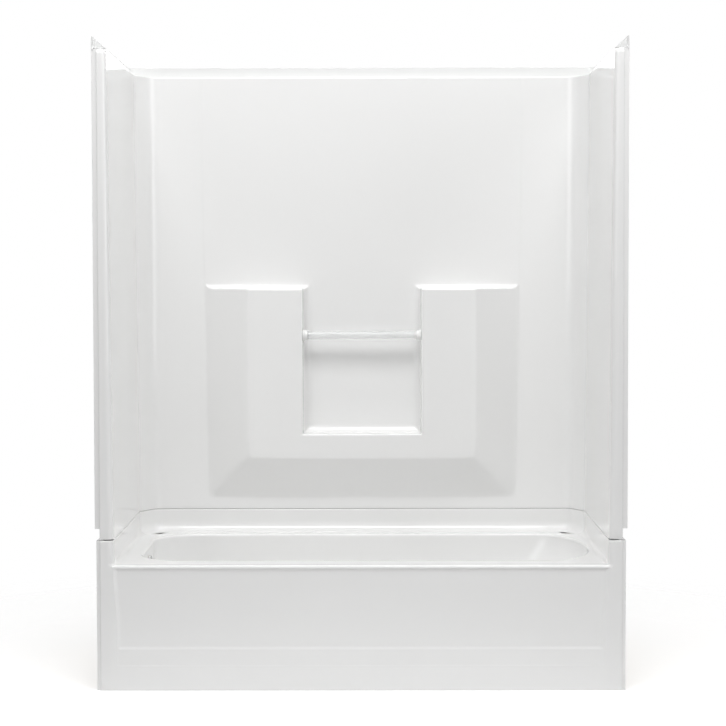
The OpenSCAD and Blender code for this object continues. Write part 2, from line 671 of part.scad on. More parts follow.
// slanted cuts at the lower corners of a batten of half length w
module end_cuts(w, y) {
    for (x = [-w, w]) translate([x, y - 1, under_deck - bearer_w]) rotate([0, 45, 0])
        block([-end_cut, 0, -end_cut], [end_cut, bearer_w + 2, end_cut]);
}
module leg(w, top) {
    difference() {
        block([-w / 2, 0, 0], [w / 2, w, top]);
        translate([0, -1, 0]) for (s = [-1, 1]) translate([s * w / 2, 0, 0]) rotate([0, 45, 0])
            block([-3, 0, -3], [3, w + 2, 3]);
    }
}
module front_legs() {
    color(timber) place() for (k = [-1:1]) translate([k * board_half, batten_y, 0])
        leg(bearer_w, under_deck - bearer_w - seat);
}
module deck_batten_back() {
    color(timber) place() difference() {
        block([-board_half, back_batten_y, under_deck - bearer_w],
            [board_half, back_batten_y + bearer_w, under_deck]);
        end_cuts(board_half, back_batten_y);
    }
}
module back_legs() {
    color(timber) place() for (k = [-1, 1]) translate([k * (board_half - 60), back_batten_y, 0])
        leg(bearer_w, under_deck - bearer_w - seat);
}

rail_x = tub_half - rail_t - 0.5;
rail_top = seam_z - skin_t - seat;
rail_front = 56;
rail_back = unit_d - 45;
leg_pitch = (rail_back - rail_front - bearer_w - 34) / 3;
module side_rail() {
    difference() {
        block([rail_x, rail_front, rail_top - bearer_w], [rail_x + rail_t, rail_back, rail_top]);
        for (y = [rail_front, rail_back]) translate([rail_x - 1, y, rail_top - bearer_w]) rotate([45, 0, 0])
            block([0, -end_cut, -end_cut], [rail_t + 2, end_cut, end_cut]);
    }
}
module side_rail_left() {
    color(timber) place() mirror([1, 0, 0]) side_rail();
}
module side_rail_right() {
    color(timber) place() side_rail();
}
module side_legs() {
    color(timber) place() both() for (k = [0:3]) translate([rail_x, rail_front + 20 + k * leg_pitch, 0])
        block([0, 0, 0], [rail_t, bearer_w, rail_top - bearer_w - seat]);
}

// boards and battens behind the walls
// board behind a side wall, following its face, outline corners rounded by r
module side_board(y0, y1, z0, z1, r, t) {
    skin([for (d = [skin_t + seat, skin_t + seat + t])
        [for (p = rounded_plan(y0, y1, z0, z1, r)) [side_face(p.x, p.y) + d, p.x, p.y]]]);
}
// board behind the back wall
module back_board(x0, x1, z0, z1, r, t) {
    skin([for (d = [skin_t + seat, skin_t + seat + t])
        [for (p = rounded_plan(x0, x1, z0, z1, r)) [p.x, back_face(p.y) + d, p.y]]]);
}
module left_wall_backer() {
    color(plywood) place() mirror([1, 0, 0])
        side_board(board_front, board_back, board_low, board_high, board_r, board_t);
}
module right_wall_backer() {
    color(plywood) place() side_board(board_front, board_back, board_low, board_high, board_r, board_t);
}
module upper_back_backer() {
    color(plywood) place()
        back_board(-board_half, board_half, shelf_z + 181, ledge_z - 195, board_r, board_t);
}
module lower_back_battens() {
    color(timber) place() both() back_board(block_root + 34, block_root + 34 + bearer_w * 1.6,
        wall_low + 65, shelf_z + 31, 6, rail_t - 1);
}
module shelf_backer() {
    top = shelf_z - skin_t - seat;
    x0 = niche_half + skin_t + 8;
    x1 = block_half - 12;
    y0 = block_y + skin_t + 14;
    y1 = back_face(shelf_z);
    translate([0, 0, top - 36]) linear_extrude(36)
        polygon([[x0, y0], [x1, y0], [x1 + (y1 - y0) * side_slope * 0.8, y1], [x0, y1]]);
}
module shelf_backer_left() {
    color(plywood) place() mirror([1, 0, 0]) shelf_backer();
}
module shelf_backer_right() {
    color(plywood) place() shelf_backer();
}
module top_ledge_batten() {
    y0 = back_y + ledge_in + roll_r + 0.5;
    color(timber) place() block([-batten_half, y0, ledge_z - skin_t - seat - 34],
        [batten_half, unit_d - 1.5, ledge_z - skin_t - seat]);
}
module column_post() {
    block([side_face(0, ledge_z) + skin_t + 1.2, skin_t + seat, wall_low + skin_t + seat],
        [col_half - skin_t - seat, skin_t + seat + 27, ledge_z - bull_r - 0.4 - seat]);
}
module column_post_left() {
    color(timber) place() mirror([1, 0, 0]) column_post();
}
module column_post_right() {
    color(timber) place() column_post();
}

tub_basin();
tub_deck();
tub_apron();
surround_shell();
niche_bar();
bar_socket_left();
bar_socket_right();
bar_screws();
seam_gasket();
seam_bolts();
seam_washers();
seam_nuts();
floor_core();
bearer_front();
bearer_middle();
bearer_rear();
apron_stiffener();
rim_batten_front();
front_legs();
deck_batten_back();
back_legs();
side_rail_left();
side_rail_right();
side_legs();
left_wall_backer();
right_wall_backer();
upper_back_backer();
lower_back_battens();
shelf_backer_left();
shelf_backer_right();
top_ledge_batten();
column_post_left();
column_post_right();
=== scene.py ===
import json
import math
import bpy
import numpy as np
from mathutils import Matrix, Vector

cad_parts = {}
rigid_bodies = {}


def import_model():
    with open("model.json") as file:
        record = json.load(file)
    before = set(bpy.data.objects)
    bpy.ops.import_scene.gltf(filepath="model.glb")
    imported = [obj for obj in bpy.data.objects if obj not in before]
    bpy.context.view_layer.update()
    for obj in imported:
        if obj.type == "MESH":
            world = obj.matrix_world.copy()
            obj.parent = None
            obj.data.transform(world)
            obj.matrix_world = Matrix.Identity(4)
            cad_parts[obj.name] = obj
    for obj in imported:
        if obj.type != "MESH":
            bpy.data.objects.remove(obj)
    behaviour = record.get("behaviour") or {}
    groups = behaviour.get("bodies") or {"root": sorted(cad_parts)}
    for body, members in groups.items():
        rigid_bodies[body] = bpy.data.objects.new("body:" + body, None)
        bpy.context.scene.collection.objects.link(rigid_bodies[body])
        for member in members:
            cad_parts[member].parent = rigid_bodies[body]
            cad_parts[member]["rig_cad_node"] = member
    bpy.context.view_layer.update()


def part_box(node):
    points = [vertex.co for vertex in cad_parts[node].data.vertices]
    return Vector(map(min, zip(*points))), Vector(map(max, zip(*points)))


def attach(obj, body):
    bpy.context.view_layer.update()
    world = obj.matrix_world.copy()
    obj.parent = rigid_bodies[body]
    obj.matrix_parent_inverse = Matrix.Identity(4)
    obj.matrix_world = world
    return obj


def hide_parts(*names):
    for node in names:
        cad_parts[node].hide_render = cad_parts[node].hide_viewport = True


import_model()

# sizes shared by the moulded pieces, in millimetres and degrees; y runs back from the column faces
unit = dict(
    width=1524.0, depth=813.0, height=1867.0, seam=432.0, gasket=3.0, deck=359.0, skin=5.0,
    columnWidth=38.0, finWidth=14.0, finSet=4.0, finNotch=34.0, draft=0.48, splay=6.5,
    backGap=40.5, facetX=40.5, facetY=73.5, facetRadius=40.0, outerRadius=25.0, flange=32.0,
    rollRadius=4.5, bullRadius=17.0, start=16.0, tubHalf=758.0,
)
columnHalf = unit["width"] / 2 - unit["finWidth"]
wallHalf = columnHalf - unit["columnWidth"]
backY = unit["depth"] - unit["backGap"]
ledgeZ = unit["height"] - unit["flange"]
wallLow = unit["seam"] + unit["gasket"]
lean = math.tan(math.radians(unit["draft"]))
otherSide = np.array([-1, 1, 1])  # times a grid of the right half, gives the left half
planArc = 9  # points in each rounded corner of the wall plan


# how far the walls lean outwards at height z
def leanAt(z):
    return (z - unit["seam"]) * lean


def backFace(z):
    return backY + leanAt(z)


# a grid of points P[i, j] becomes quads (i, j), (i+1, j), (i+1, j+1), (i, j+1)
def gridFaces(rows, cols, start, flip):
    i = np.arange(rows - 1)[:, None]
    j = np.arange(cols - 1)[None, :]
    a = start + i * cols + j
    b = a + cols
    quads = np.stack([a, b, b + 1, a + 1], axis=-1).reshape(-1, 4)
    return quads[:, ::-1] if flip else quads


def addObject(name, data):
    obj = bpy.data.objects.new(name, data)
    bpy.context.scene.collection.objects.link(obj)
    return obj


# points in millimetres in the CAD's own depth become an object in metres
def makePiece(name, points, quads, flat):
    points = (points - [0.0, unit["depth"] / 2, 0.0]) / 1000.0
    mesh = bpy.data.meshes.new(name)
    mesh.from_pydata(points.tolist(), [], quads.tolist())
    mesh.validate()
    mesh.polygons.foreach_set("use_smooth", [not flat] * len(mesh.polygons))
    mesh.update()
    return addObject(name, mesh)


# several grids [(P, flip)] joined in one piece; a third entry marks the quads to keep; flat shades
# each face by itself
def makeGrids(name, grids, flat=False):
    points, quads, start = [], [], 0
    for grid, flip, *kept in grids:
        rows, cols = grid.shape[:2]
        points.append(grid.reshape(-1, 3))
        made = gridFaces(rows, cols, start, flip)
        quads.append(made[kept[0].ravel()] if kept else made)
        start += rows * cols
    return makePiece(name, np.concatenate(points), np.concatenate(quads), flat)


# a grid and its mirror image as entries for makeGrids
def bothSides(grid, flip):
    return [(grid, flip), (grid * otherSide, not flip)]


# a grid of closed rings: the first point of each is repeated at its end
def closeRings(rings):
    return np.array([np.vstack([g, g[:1]]) for g in rings])


# points at height z over the plan points xy
def level(xy, z):
    return np.column_stack([xy, np.full(len(xy), z)])


# sorted numbers without repeats, rounded to a ten-thousandth of a millimetre
def merged(*lists):
    return np.unique(np.round(np.concatenate(lists), 4))


# numbers from a to b with extra ones packed round each knot (place, half width, count)
def packed(a, b, step, knots):
    least = 0.02  # numbers closer than this are dropped
    values = [np.linspace(a, b, max(2, int(round((b - a) / step)) + 1))]
    for place, half, count in knots:
        values.append(np.linspace(place - half, place + half, count))
    x = merged(*values)
    x = x[(x >= a) & (x <= b)]
    keep = np.concatenate([[True], np.diff(x) > least])
    return x[keep]


# smooth minimum of a and b with rounding k: (a + b - sqrt((a - b)^2 + k^2)) / 2
def softMin(a, b, k):
    return (a + b - np.sqrt((a - b) ** 2 + k * k)) / 2


# smooth maximum of a and b with rounding k: (a + b + sqrt((a - b)^2 + k^2)) / 2
def softMax(a, b, k):
    return (a + b + np.sqrt((a - b) ** 2 + k * k)) / 2


# t squared times (3 - 2 t) between 0 and 1, level outside
def smooth(t):
    t = np.clip(t, 0, 1)
    return t * t * (3 - 2 * t)


# arc c + r (cos, sin) from angle a0 to a1 in degrees
def arc(c, r, a0, a1, n):
    a = np.radians(np.linspace(a0, a1, n))
    return np.stack([c[0] + r * np.cos(a), c[1] + r * np.sin(a)], axis=1)


# arc of radius r that rounds the corner q between p and s
def fillet(p, q, s, r, n):
    p, q, s = np.array(p, float), np.array(q, float), np.array(s, float)
    u = (p - q) / np.linalg.norm(p - q)
    v = (s - q) / np.linalg.norm(s - q)
    half = math.acos(float(np.clip(u @ v, -1, 1))) / 2
    c = q + (u + v) / np.linalg.norm(u + v) * r / math.sin(half)
    t = r / math.tan(half)
    e, g = q + u * t - c, q + v * t - c
    a0 = math.degrees(math.atan2(e[1], e[0]))
    a1 = math.degrees(math.atan2(g[1], g[0]))
    turn = (a1 - a0 + 180) % 360 - 180
    return arc(c, r, a0, a0 + turn, n)


# outward mitre vectors of an open path, level at its ends; the outside lies to the right of it
def mitres(path):
    d = np.diff(path, axis=0)
    d /= np.linalg.norm(d, axis=1, keepdims=True)
    n = np.stack([d[:, 1], -d[:, 0]], axis=1)
    m = np.empty_like(path)
    m[1:-1] = (n[:-1] + n[1:]) / (1 + np.sum(n[:-1] * n[1:], axis=1, keepdims=True))
    m[0] = [1 / n[0, 0], 0]
    m[-1] = [1 / n[-1, 0], 0]
    return m


# plan of the wall faces at the seam
cornerA = np.array([wallHalf + unit["splay"], backY - unit["facetY"]])
cornerB = np.array([cornerA[0] - unit["facetX"], backY])
sideStart = np.array([wallHalf + unit["splay"] * unit["start"] / cornerA[1], unit["start"]])


# right half of the wall plan from the front to the back straight, then its mirror image
def wallPlan(backX, sideCount):
    radius = unit["facetRadius"]
    arcA = fillet([wallHalf, 0], cornerA, cornerB, radius, planArc)
    arcB = fillet(cornerA, cornerB, [0, backY], radius, planArc)
    side = np.linspace(sideStart, arcA[0], sideCount)[:-1]
    half = np.concatenate([side, arcA, arcB])
    limit = arcB[-1][0] - 0.5
    middle = backX[(backX > -limit) & (backX < limit)][::-1]
    back = np.stack([middle, np.full(len(middle), backY)], axis=1)
    return np.concatenate([half, back, half[::-1] * [-1, 1]]), len(half)


# outline round the back of the wall plan, point for point, its two corners rounded
def outerPlan(half, back, inner, halfCount):
    radius, gap = unit["outerRadius"], 3.0
    corner = arc([half - radius, back - radius], radius, 0, 90, 2 * planArc)
    side = np.linspace([half, unit["start"]], corner[0], halfCount - 2 * planArc + 1)[:-1]
    right = np.concatenate([side, corner])
    x = inner[halfCount:len(inner) - halfCount, 0]
    x = x * (half - radius - gap) / (abs(x).max() + gap)
    straight = np.stack([x, np.full(len(x), back)], axis=1)
    return np.concatenate([right, straight, right[::-1] * [-1, 1]])


# y = max(front, side slope, low slope, shelf profile), cut back by the niche, never behind the wall
block = dict(
    shelf=1149.0, half=367.0, root=510.0, out=81.5, low=602.0, toe=462.0, nicheHalf=190.5,
    niche=682.0, shelfCove=21.0, cove=28.0, edge=5.0, lip=5.0, nicheFillet=30.0, step=0.5,
    cornerSoft=9.0, bendSoft=2.6, rootSoft=2.2,
)
blockY = backFace(block["shelf"]) - block["out"]
sideSlope = (block["root"] - block["half"]) / block["out"]
lowSlope = (block["low"] - block["toe"]) / block["out"]
pastStep = -1e3  # marks what lies in front of a step


# depth at distance d from a step: cove of radius c behind, steep riser, lip of radius e in front
def stepProfile(d, wall, front, c, e):
    riser = block["step"]
    y = np.array(wall, float) * np.ones_like(d)
    inCove = (d < 0) & (d > -c)
    y = np.where(inCove, wall - (c - np.sqrt(np.maximum(c * c - (d + c) ** 2, 0))), y)
    y = np.where((d >= 0) & (d < riser), wall - c + (front + e - wall + c) * d / riser, y)
    f = np.clip(d - riser, 0, e)
    y = np.where(d >= riser, front + e - np.sqrt(np.maximum(e * e - (e - f) ** 2, 0)), y)
    return np.where(d >= riser + e, pastStep, y)


# depth of the back wall at x, z, as noted above block; inset moves it back for the hidden side
def reliefY(x, z, inset):
    b, ax = block, np.abs(x)
    wall = backFace(z) + inset
    front = blockY + inset
    slopeIn = inset * math.sqrt(1 + sideSlope ** 2)
    lowIn = inset * math.sqrt(1 + lowSlope ** 2)
    side = front + (ax - b["half"] + slopeIn) / sideSlope
    low = front + (b["low"] + lowIn - z) / lowSlope
    body = softMax(softMax(side, low, b["cornerSoft"]), front, b["bendSoft"])
    top = stepProfile(b["shelf"] - inset - z, wall, front, b["shelfCove"], b["edge"])
    body = np.maximum(body, np.where(top == pastStep, front, top))
    across = stepProfile(ax - b["nicheHalf"] - inset, wall, front, b["nicheFillet"], b["lip"])
    down = stepProfile(b["niche"] - inset - z, wall, front, b["cove"], b["lip"])
    body = np.maximum(body, np.minimum(across, down))
    return softMin(body, wall, b["rootSoft"]) if inset == 0 else np.minimum(body, wall)


# exact grid lines through a step at place p; s is the side on which the solid lies
def stepLines(p, s, c, e):
    riser, past = block["step"], 0.8
    a = np.radians(np.linspace(0, 90, 9))
    coveLines = -c + c * np.sin(a)
    lip = riser + e - e * np.cos(a)
    return p + s * np.concatenate([[-c - past], coveLines, [riser], lip, [riser + e + past]])


# edges of the surround: flange on the seam with its drip, foot of the top flange; then its grid's
# half width and the gaps between grid lines across and up, on the face and on the hidden side
surround = dict(seamFlange=30.0, heel=5.0, drip=2.0, dripRadius=1.4, topFoot=4.0, hiddenRoll=10.0,
                reach=676.0, faceGap=(11.0, 12.0), hiddenGap=(24.0, 26.0), sideRows=14)


# grid lines across the back wall: even ones, closer ones at the knots, those of the niche's sides
def linesAcross(gap, knots, inset):
    reach, side = surround["reach"], block["nicheHalf"] + inset
    both = [(s * x, half, n) for x, half, n in knots for s in (-1, 1)]
    sides = [stepLines(s * side, s, block["nicheFillet"], block["lip"]) for s in (1, -1)]
    return merged(packed(-reach, reach, gap, both), *sides)


# the same up the back wall, with the lines of the shelf and the niche floor
def linesUp(low, high, gap, knots, inset):
    b = block
    return merged(packed(low, high, gap, knots),
                  stepLines(b["shelf"] - inset, -1, b["shelfCove"], b["edge"]),
                  stepLines(b["niche"] - inset, -1, b["cove"], b["lip"]))


# rows of the wall profile: (offset, height, 1 if on the outer path, 1 if part of the relief)
def faceRows(zs):
    s, t, r = surround, unit["skin"], unit["rollRadius"]
    drip, heel, foot = wallLow - s["drip"], s["heel"], s["topFoot"]
    rows = [(s["seamFlange"], wallLow, 0, 0), (heel, wallLow, 0, 0), (heel - 0.1, drip + 0.4, 0, 0),
            (heel - 0.5, drip, 0, 0)]
    c = s["dripRadius"]
    rows += [(n + leanAt(z), z, 0, 0) for n, z in arc([c, drip + c], c, 270, 180, 6)]
    rows += [(leanAt(z), z, 0, 1) for z in zs]
    inner = leanAt(ledgeZ - r)
    rows += [(inner + n, z, 0, 0) for n, z in arc([r, ledgeZ - r], r, 180, 90, 10)[1:]]
    rows += [(-t - foot, ledgeZ, 1, 0), (-t - 0.3 * foot, ledgeZ + 0.3 * foot, 1, 0),
             (-t, ledgeZ + foot, 1, 0)]
    rows += [(n, z, 1, 0) for n, z in arc([-t / 2, unit["height"] - t / 2], t / 2, 180, 0, 7)]
    return rows + [(0.0, ledgeZ - t, 1, 0)]


# the same for the side that can't be seen, one wall thickness behind
def hiddenRows(zs):
    s, t = surround, unit["skin"]
    rows = [(s["seamFlange"], wallLow, 0, 0), (s["seamFlange"], wallLow + t, 0, 0),
            (t + 5.0, wallLow + t, 0, 0), (t + 1.0, wallLow + t + 3, 0, 0)]
    rows += [(t + leanAt(z), z, 0, 1) for z in zs]
    top = leanAt(ledgeZ - s["hiddenRoll"])
    return rows + [(top + t + 3, ledgeZ - t - 1, 0, 0), (top + 12, ledgeZ - t, 0, 0),
                   (0.0, ledgeZ - t, 1, 0)]


# wall plan moved out by each row's offset; on the back, rows of the relief take reliefY as depth
def wallGrid(backX, inset, rows):
    inner, count = wallPlan(backX, surround["sideRows"])
    outer = outerPlan(unit["width"] / 2, unit["depth"], inner, count)
    mi, mo = mitres(inner), mitres(outer)
    grid = np.zeros((len(inner), len(rows), 3))
    onBack = np.zeros(len(inner), bool)
    onBack[count:len(inner) - count] = True
    for k, (n, z, outside, relief) in enumerate(rows):
        grid[:, k, :2] = outer + mo * n if outside else inner + mi * n
        grid[:, k, 2] = z
        if relief:
            grid[onBack, k, 1] = reliefY(grid[onBack, k, 0], grid[onBack, k, 2], inset)
    return grid


def buildSurround():
    b, t, top = block, unit["skin"], ledgeZ - unit["rollRadius"]
    (faceX, faceZ), (hiddenX, hiddenZ) = surround["faceGap"], surround["hiddenGap"]
    xs = linesAcross(faceX, [(b["half"], 7, 9), (b["root"], 8, 9)], 0.0)
    zs = linesUp(wallLow + 5, top, faceZ,
                 [(b["low"], 7, 9), (b["toe"], 8, 9), (wallLow + 6, 1, 3), (top - 1, 1, 3)], 0.0)
    face = makeGrids("surroundFace", [(wallGrid(xs, 0.0, faceRows(zs)), False)])
    xs = linesAcross(hiddenX, [(b["half"], 5, 3)], t)
    zs = linesUp(wallLow + 10, ledgeZ - 12, hiddenZ, [(b["low"], 5, 3)], t)
    hidden = makeGrids("surroundBack", [(wallGrid(xs, t, hiddenRows(zs)), True)])
    return face, hidden


# columns: radius of the outer edge, depth of flank, tail and closing strip, overlap into the wall,
# how far the dome stays below the ledge and from closing, and the rings of the straight part
column = dict(edge=2.0, flank=17.0, tail=26.0, back=27.0, tuck=0.3, domeGap=0.4, domeOpen=1.5,
              rings=30)


# plan section of a column: inner edge at e, rounded by b; front drawn in by t, flanks by side
def columnSection(e, t, b, side=None):
    n = t if side is None else side
    outer, flank, edge = columnHalf, column["flank"], column["edge"]
    corner = [[outer - n, t]] * 5
    if t < edge:
        corner = arc([outer - edge, edge], edge - t, 0, -90, 5).tolist()
    front = [[x, t] for x in np.linspace(outer - 6, e + b + 1, 4)]
    bull = arc([e + b, b], max(b - t, 0.02), -90, -180, 12).tolist()
    tail = [[e + n, b + 1.5], [e + n + 0.2, flank], [e + n + 1.6, column["tail"]]]
    return np.array([[outer - n, flank]] + corner + front + bull + tail)


# a ring's copy moved back, to close a column at its end
def closing(ring):
    moved = ring.copy()
    moved[:, 1] = column["back"]
    return moved


# upper columns: straight up from a rounded foot, then a dome z = r sin a, t = r (1 - cos a)
def buildColumns():
    c, r, k = column, unit["bullRadius"], unit["rollRadius"]
    foot = arc([c["edge"], wallLow + c["edge"]], c["edge"], 270, 180, 5)
    a = np.radians(np.linspace(10, 90, 9))
    zs = np.concatenate([foot[:, 1], np.linspace(wallLow + 30, ledgeZ - r, c["rings"]),
                         ledgeZ - c["domeGap"] - r + r * np.sin(a)])
    ts = np.concatenate([foot[:, 0], np.zeros(c["rings"]), (r - c["domeOpen"]) * (1 - np.cos(a))])
    rings = []
    for z, t in zip(zs, ts):
        side = t
        if z >= ledgeZ - r - 1:  # beside the dome the flanks follow the roll of the ledge
            side = k - math.sqrt(k * k - (k - min(ledgeZ - z, k)) ** 2)
        rings.append(level(columnSection(wallHalf + leanAt(z) - c["tuck"], t, r, side), z))
    face = np.array([closing(rings[0])] + rings + [closing(rings[-1])])
    hidden = np.array([level(columnSection(wallHalf + leanAt(z), unit["skin"], r), z)
                       for z in (wallLow + 4, ledgeZ - 12)])
    return (makeGrids("columnRight", [(face, False), (hidden, True)]),
            makeGrids("columnLeft", [(face * otherSide, True), (hidden * otherSide, False)]))


# nailing fins beside the columns: overlap with the column, edges, ends, gaps at ledge and seam
fin = dict(inset=1.0, round=0.8, bevel=0.4, endStep=1.0, ledgeGap=2.0, seamGap=0.2, tipFront=2.0,
           slack=0.05)


# flat strip from x0 to x1 and z0 to z1 with a rounded long edge, both ends closed
def finStrip(x0, x1, z0, z1):
    f, y0, y1 = fin, unit["finSet"], unit["finSet"] + unit["skin"]
    r, bevel = f["round"], f["bevel"]
    section = np.array([[x0, y0], [x1 - r, y0], [x1, y0 + r], [x1, y1 - r], [x1 - r, y1 - bevel],
                        [x0, y1 - bevel]])
    mid = section.mean(axis=0)
    point = mid + (section - mid) * 0.02
    return np.array([level(point, z0), level(section, z0), level(section, z0 + f["endStep"]),
                     level(section, z1 - f["endStep"]), level(section, z1), level(point, z1)])


def buildFins():
    f, t, half, high = fin, unit["skin"], unit["width"] / 2, unit["height"]
    # a strip on edge with a rounded upper end closes the top flange at the column face
    x0, x1, foot, turn = half - t + f["slack"], half - f["slack"], ledgeZ - t, high - t / 2
    crown = arc([half - t / 2, turn], t / 2 - f["slack"], 180, 0, 9)[1:-1].tolist()
    tip = np.array([[x0, foot], [x0, turn]] + crown + [[x1, turn], [x1, foot], [x0, foot]])
    mid = (tip.min(axis=0) + tip.max(axis=0)) / 2
    y0, y1 = f["tipFront"], column["flank"]
    ends = []
    for y, grow in ((y0, 0.02), (y0, 0.9), (y0 + 0.4, 1.0), (y1, 1.0), (y1, 0.02)):
        ring = mid + (tip - mid) * grow
        ends.append(np.column_stack([ring[:, 0], np.full(len(ring), y), ring[:, 1]]))
    start = columnHalf - t + f["inset"]
    upper = finStrip(start, half, unit["seam"] + unit["finNotch"], ledgeZ - f["ledgeGap"])
    lower = finStrip(start, unit["tubHalf"], 0.0, unit["seam"] - f["seamGap"])
    grids = bothSides(upper, False) + bothSides(np.array(ends), True)
    return (makeGrids("surroundFins", grids, flat=True),
            makeGrids("tubFins", bothSides(lower, False), flat=True))


# bath: rim and floor outlines, drain and overflow, the dishes and coves of the deck
bath = dict(
    rimLeft=662.0, rimRight=698.0, rimFront=105.0, rimBack=702.0, corner=150.0, bow=150.0, roll=7.0,
    floor=62.0, fall=3.0, floorLeft=615.0, floorRight=330.0, floorIn=92.0, floorCorner=0.7,
    floorBow=1.3, drain=50.0, drainX=530.0, overflow=64.0, overflowZ=300.0, holeLimit=-600.0,
    tube=(-648.2, -649.0, -653.4), dimple=30.0, dimpleIn=22.0, dimpleDeep=7.0, dimpleOut=7.0,
    dimpleBack=37.0, cove=13.0, coveBack=30.0, restFrom=150.0, restOver=480.0, fanX=20.0,
    edgeIn=6.0,
)
drainY = (bath["rimFront"] + bath["rimBack"]) / 2
floorRun = bath["floorRight"] + bath["drainX"]


# closed outline: left corners of radius rl, right end a half ellipse of axis rr
def basinPlan(xl, xr, yf, yb, rl, rr):
    cy, hy = (yf + yb) / 2, (yb - yf) / 2
    long, short = 26, 66  # points along the long sides and along the left end
    a = np.radians(np.linspace(-90, 90, 71))

    def row(x0, x1, y):
        return np.stack([np.linspace(x0, x1, long)[1:-1], np.full(long - 2, y)], axis=1)

    return np.concatenate([
        arc([xl + rl, yf + rl], rl, 180, 270, 31),
        row(xl + rl, xr - rr, yf),
        np.stack([xr - rr + rr * np.cos(a), cy + hy * np.sin(a)], axis=1),
        row(xr - rr, xl + rl, yb),
        arc([xl + rl, yb - rl], rl, 90, 180, 31),
        np.stack([np.full(short - 2, xl), np.linspace(yb - rl, yf + rl, short)[1:-1]], axis=1)])


# outline of the rim, grown by g
def rimPlan(g):
    b = bath
    return basinPlan(-b["rimLeft"] - g, b["rimRight"] + g, b["rimFront"] - g, b["rimBack"] + g,
                     b["corner"] + g, b["bow"] + g)


# outline of the floor, grown by g
def floorPlan(g):
    b, c = bath, bath["floorIn"]
    return basinPlan(-b["floorLeft"] - g, b["floorRight"] + g, b["rimFront"] + c - g,
                     b["rimBack"] - c + g, b["corner"] * b["floorCorner"] + g,
                     b["bow"] * b["floorBow"] + g)


# wall ring: rim outline moved towards the floor outline by 1 - cos(a)^e, down by sin(a)^e; e grows
# from 0.5 at the straight left end to 1.25 at the backrest
def wallRing(a, g, top, low, fall):
    r, f = rimPlan(g - bath["roll"]), floorPlan(g)
    e = 0.5 + 0.75 * smooth((r[:, 0] - bath["restFrom"]) / bath["restOver"])
    s = 1 - np.cos(a) ** e
    d = np.sin(a) ** e
    xy = r + (f - r) * s[:, None]
    z = top - (top - low) * d + fall * d * (xy[:, 0] + bath["drainX"]) / floorRun
    return np.column_stack([xy, z])


# where the ray from c through p leaves a closed polygon
def rayOut(c, p, poly):
    d = p - c
    e = np.roll(poly, -1, axis=0) - poly
    den = d[0] * e[:, 1] - d[1] * e[:, 0]
    den = np.where(np.abs(den) < 1e-9, 1e-9, den)
    w = poly - c
    t = (w[:, 0] * e[:, 1] - w[:, 1] * e[:, 0]) / den
    u = (w[:, 0] * d[1] - w[:, 1] * d[0]) / den
    ok = (t > 0) & (u >= -1e-6) & (u <= 1 + 1e-6)
    return c + d * t[ok].min()


# outer edge of the deck: the wall plan grown under the walls, straight across behind the apron
def deckEdge():
    inner = wallPlan(np.array([0.0]), 6)[0]
    edge = inner + mitres(inner) * bath["edgeIn"]
    edge[0, 1] = edge[-1, 1] = bath["edgeIn"]
    return edge


# the two shallow dishes: depth times 1 - smooth step of the distance from their centres
def deckBump(x, y):
    b = bath
    d = np.hypot(np.abs(x) - (b["rimLeft"] + b["dimpleOut"]), y - (backY - b["dimpleBack"]))
    return -b["dimpleDeep"] * (1 - smooth((d - b["dimpleIn"]) / (b["dimple"] - b["dimpleIn"])))


# overflow hole through a grid along X: points inside the circle move out to its edge, and quads
# wholly inside go; only points left of holeLimit take part
def pierce(grid):
    centreZ, radius = bath["overflowZ"], bath["overflow"] / 2
    y, z = grid[..., 1] - drainY, grid[..., 2] - centreZ
    r = np.hypot(y, z)
    inside = (r < radius) & (grid[..., 0] < bath["holeLimit"])
    gone = inside[:-1, :-1] & inside[1:, :-1] & inside[1:, 1:] & inside[:-1, 1:]
    scale = np.where(inside, radius / np.maximum(r, 1e-6), 1.0)
    grid[..., 1] = drainY + y * scale
    grid[..., 2] = centreZ + z * scale
    return ~gone


# rings from the drain's lower edge over the floor and up the wall to the rolled rim
def insideRings(fine):
    b, t, rimLow = bath, unit["skin"], unit["deck"] - bath["roll"]
    floor, low = floorPlan(-3.0), b["floor"]
    drain = np.array([-b["drainX"], drainY])
    around = np.arctan2(floor[:, 1] - drain[1], floor[:, 0] - drain[0])
    ray = np.stack([np.cos(around), np.sin(around)], axis=1)
    hole, lip, dish = (drain + (b["drain"] / 2 + more) * ray for more in (0.0, 2.5, 16.0))

    def sloped(xy):
        return np.column_stack([xy, low + b["fall"] * (xy[:, 0] + b["drainX"]) / floorRun])

    rings = [level(hole, low - t), level(hole, low - 2.6), level(lip, low - 1.3), sloped(dish)]
    rings += [sloped(dish + (floor - dish) * s) for s in (0.12, 0.3, 0.55, 0.8, 1.0)]
    steps = np.concatenate([fine, np.linspace(7.5, 12, 4), np.linspace(14, 82, 34),
                            np.linspace(83.5, 89.3, 7)])
    rings += [wallRing(a, 0.0, rimLow, low, b["fall"]) for a in np.radians(steps[::-1])]
    rings += [level(rimPlan(-b["roll"] * math.sin(a)), unit["deck"] - b["roll"] * (1 - math.cos(a)))
              for a in np.radians(np.linspace(90, 0, 13))]
    return rings, hole


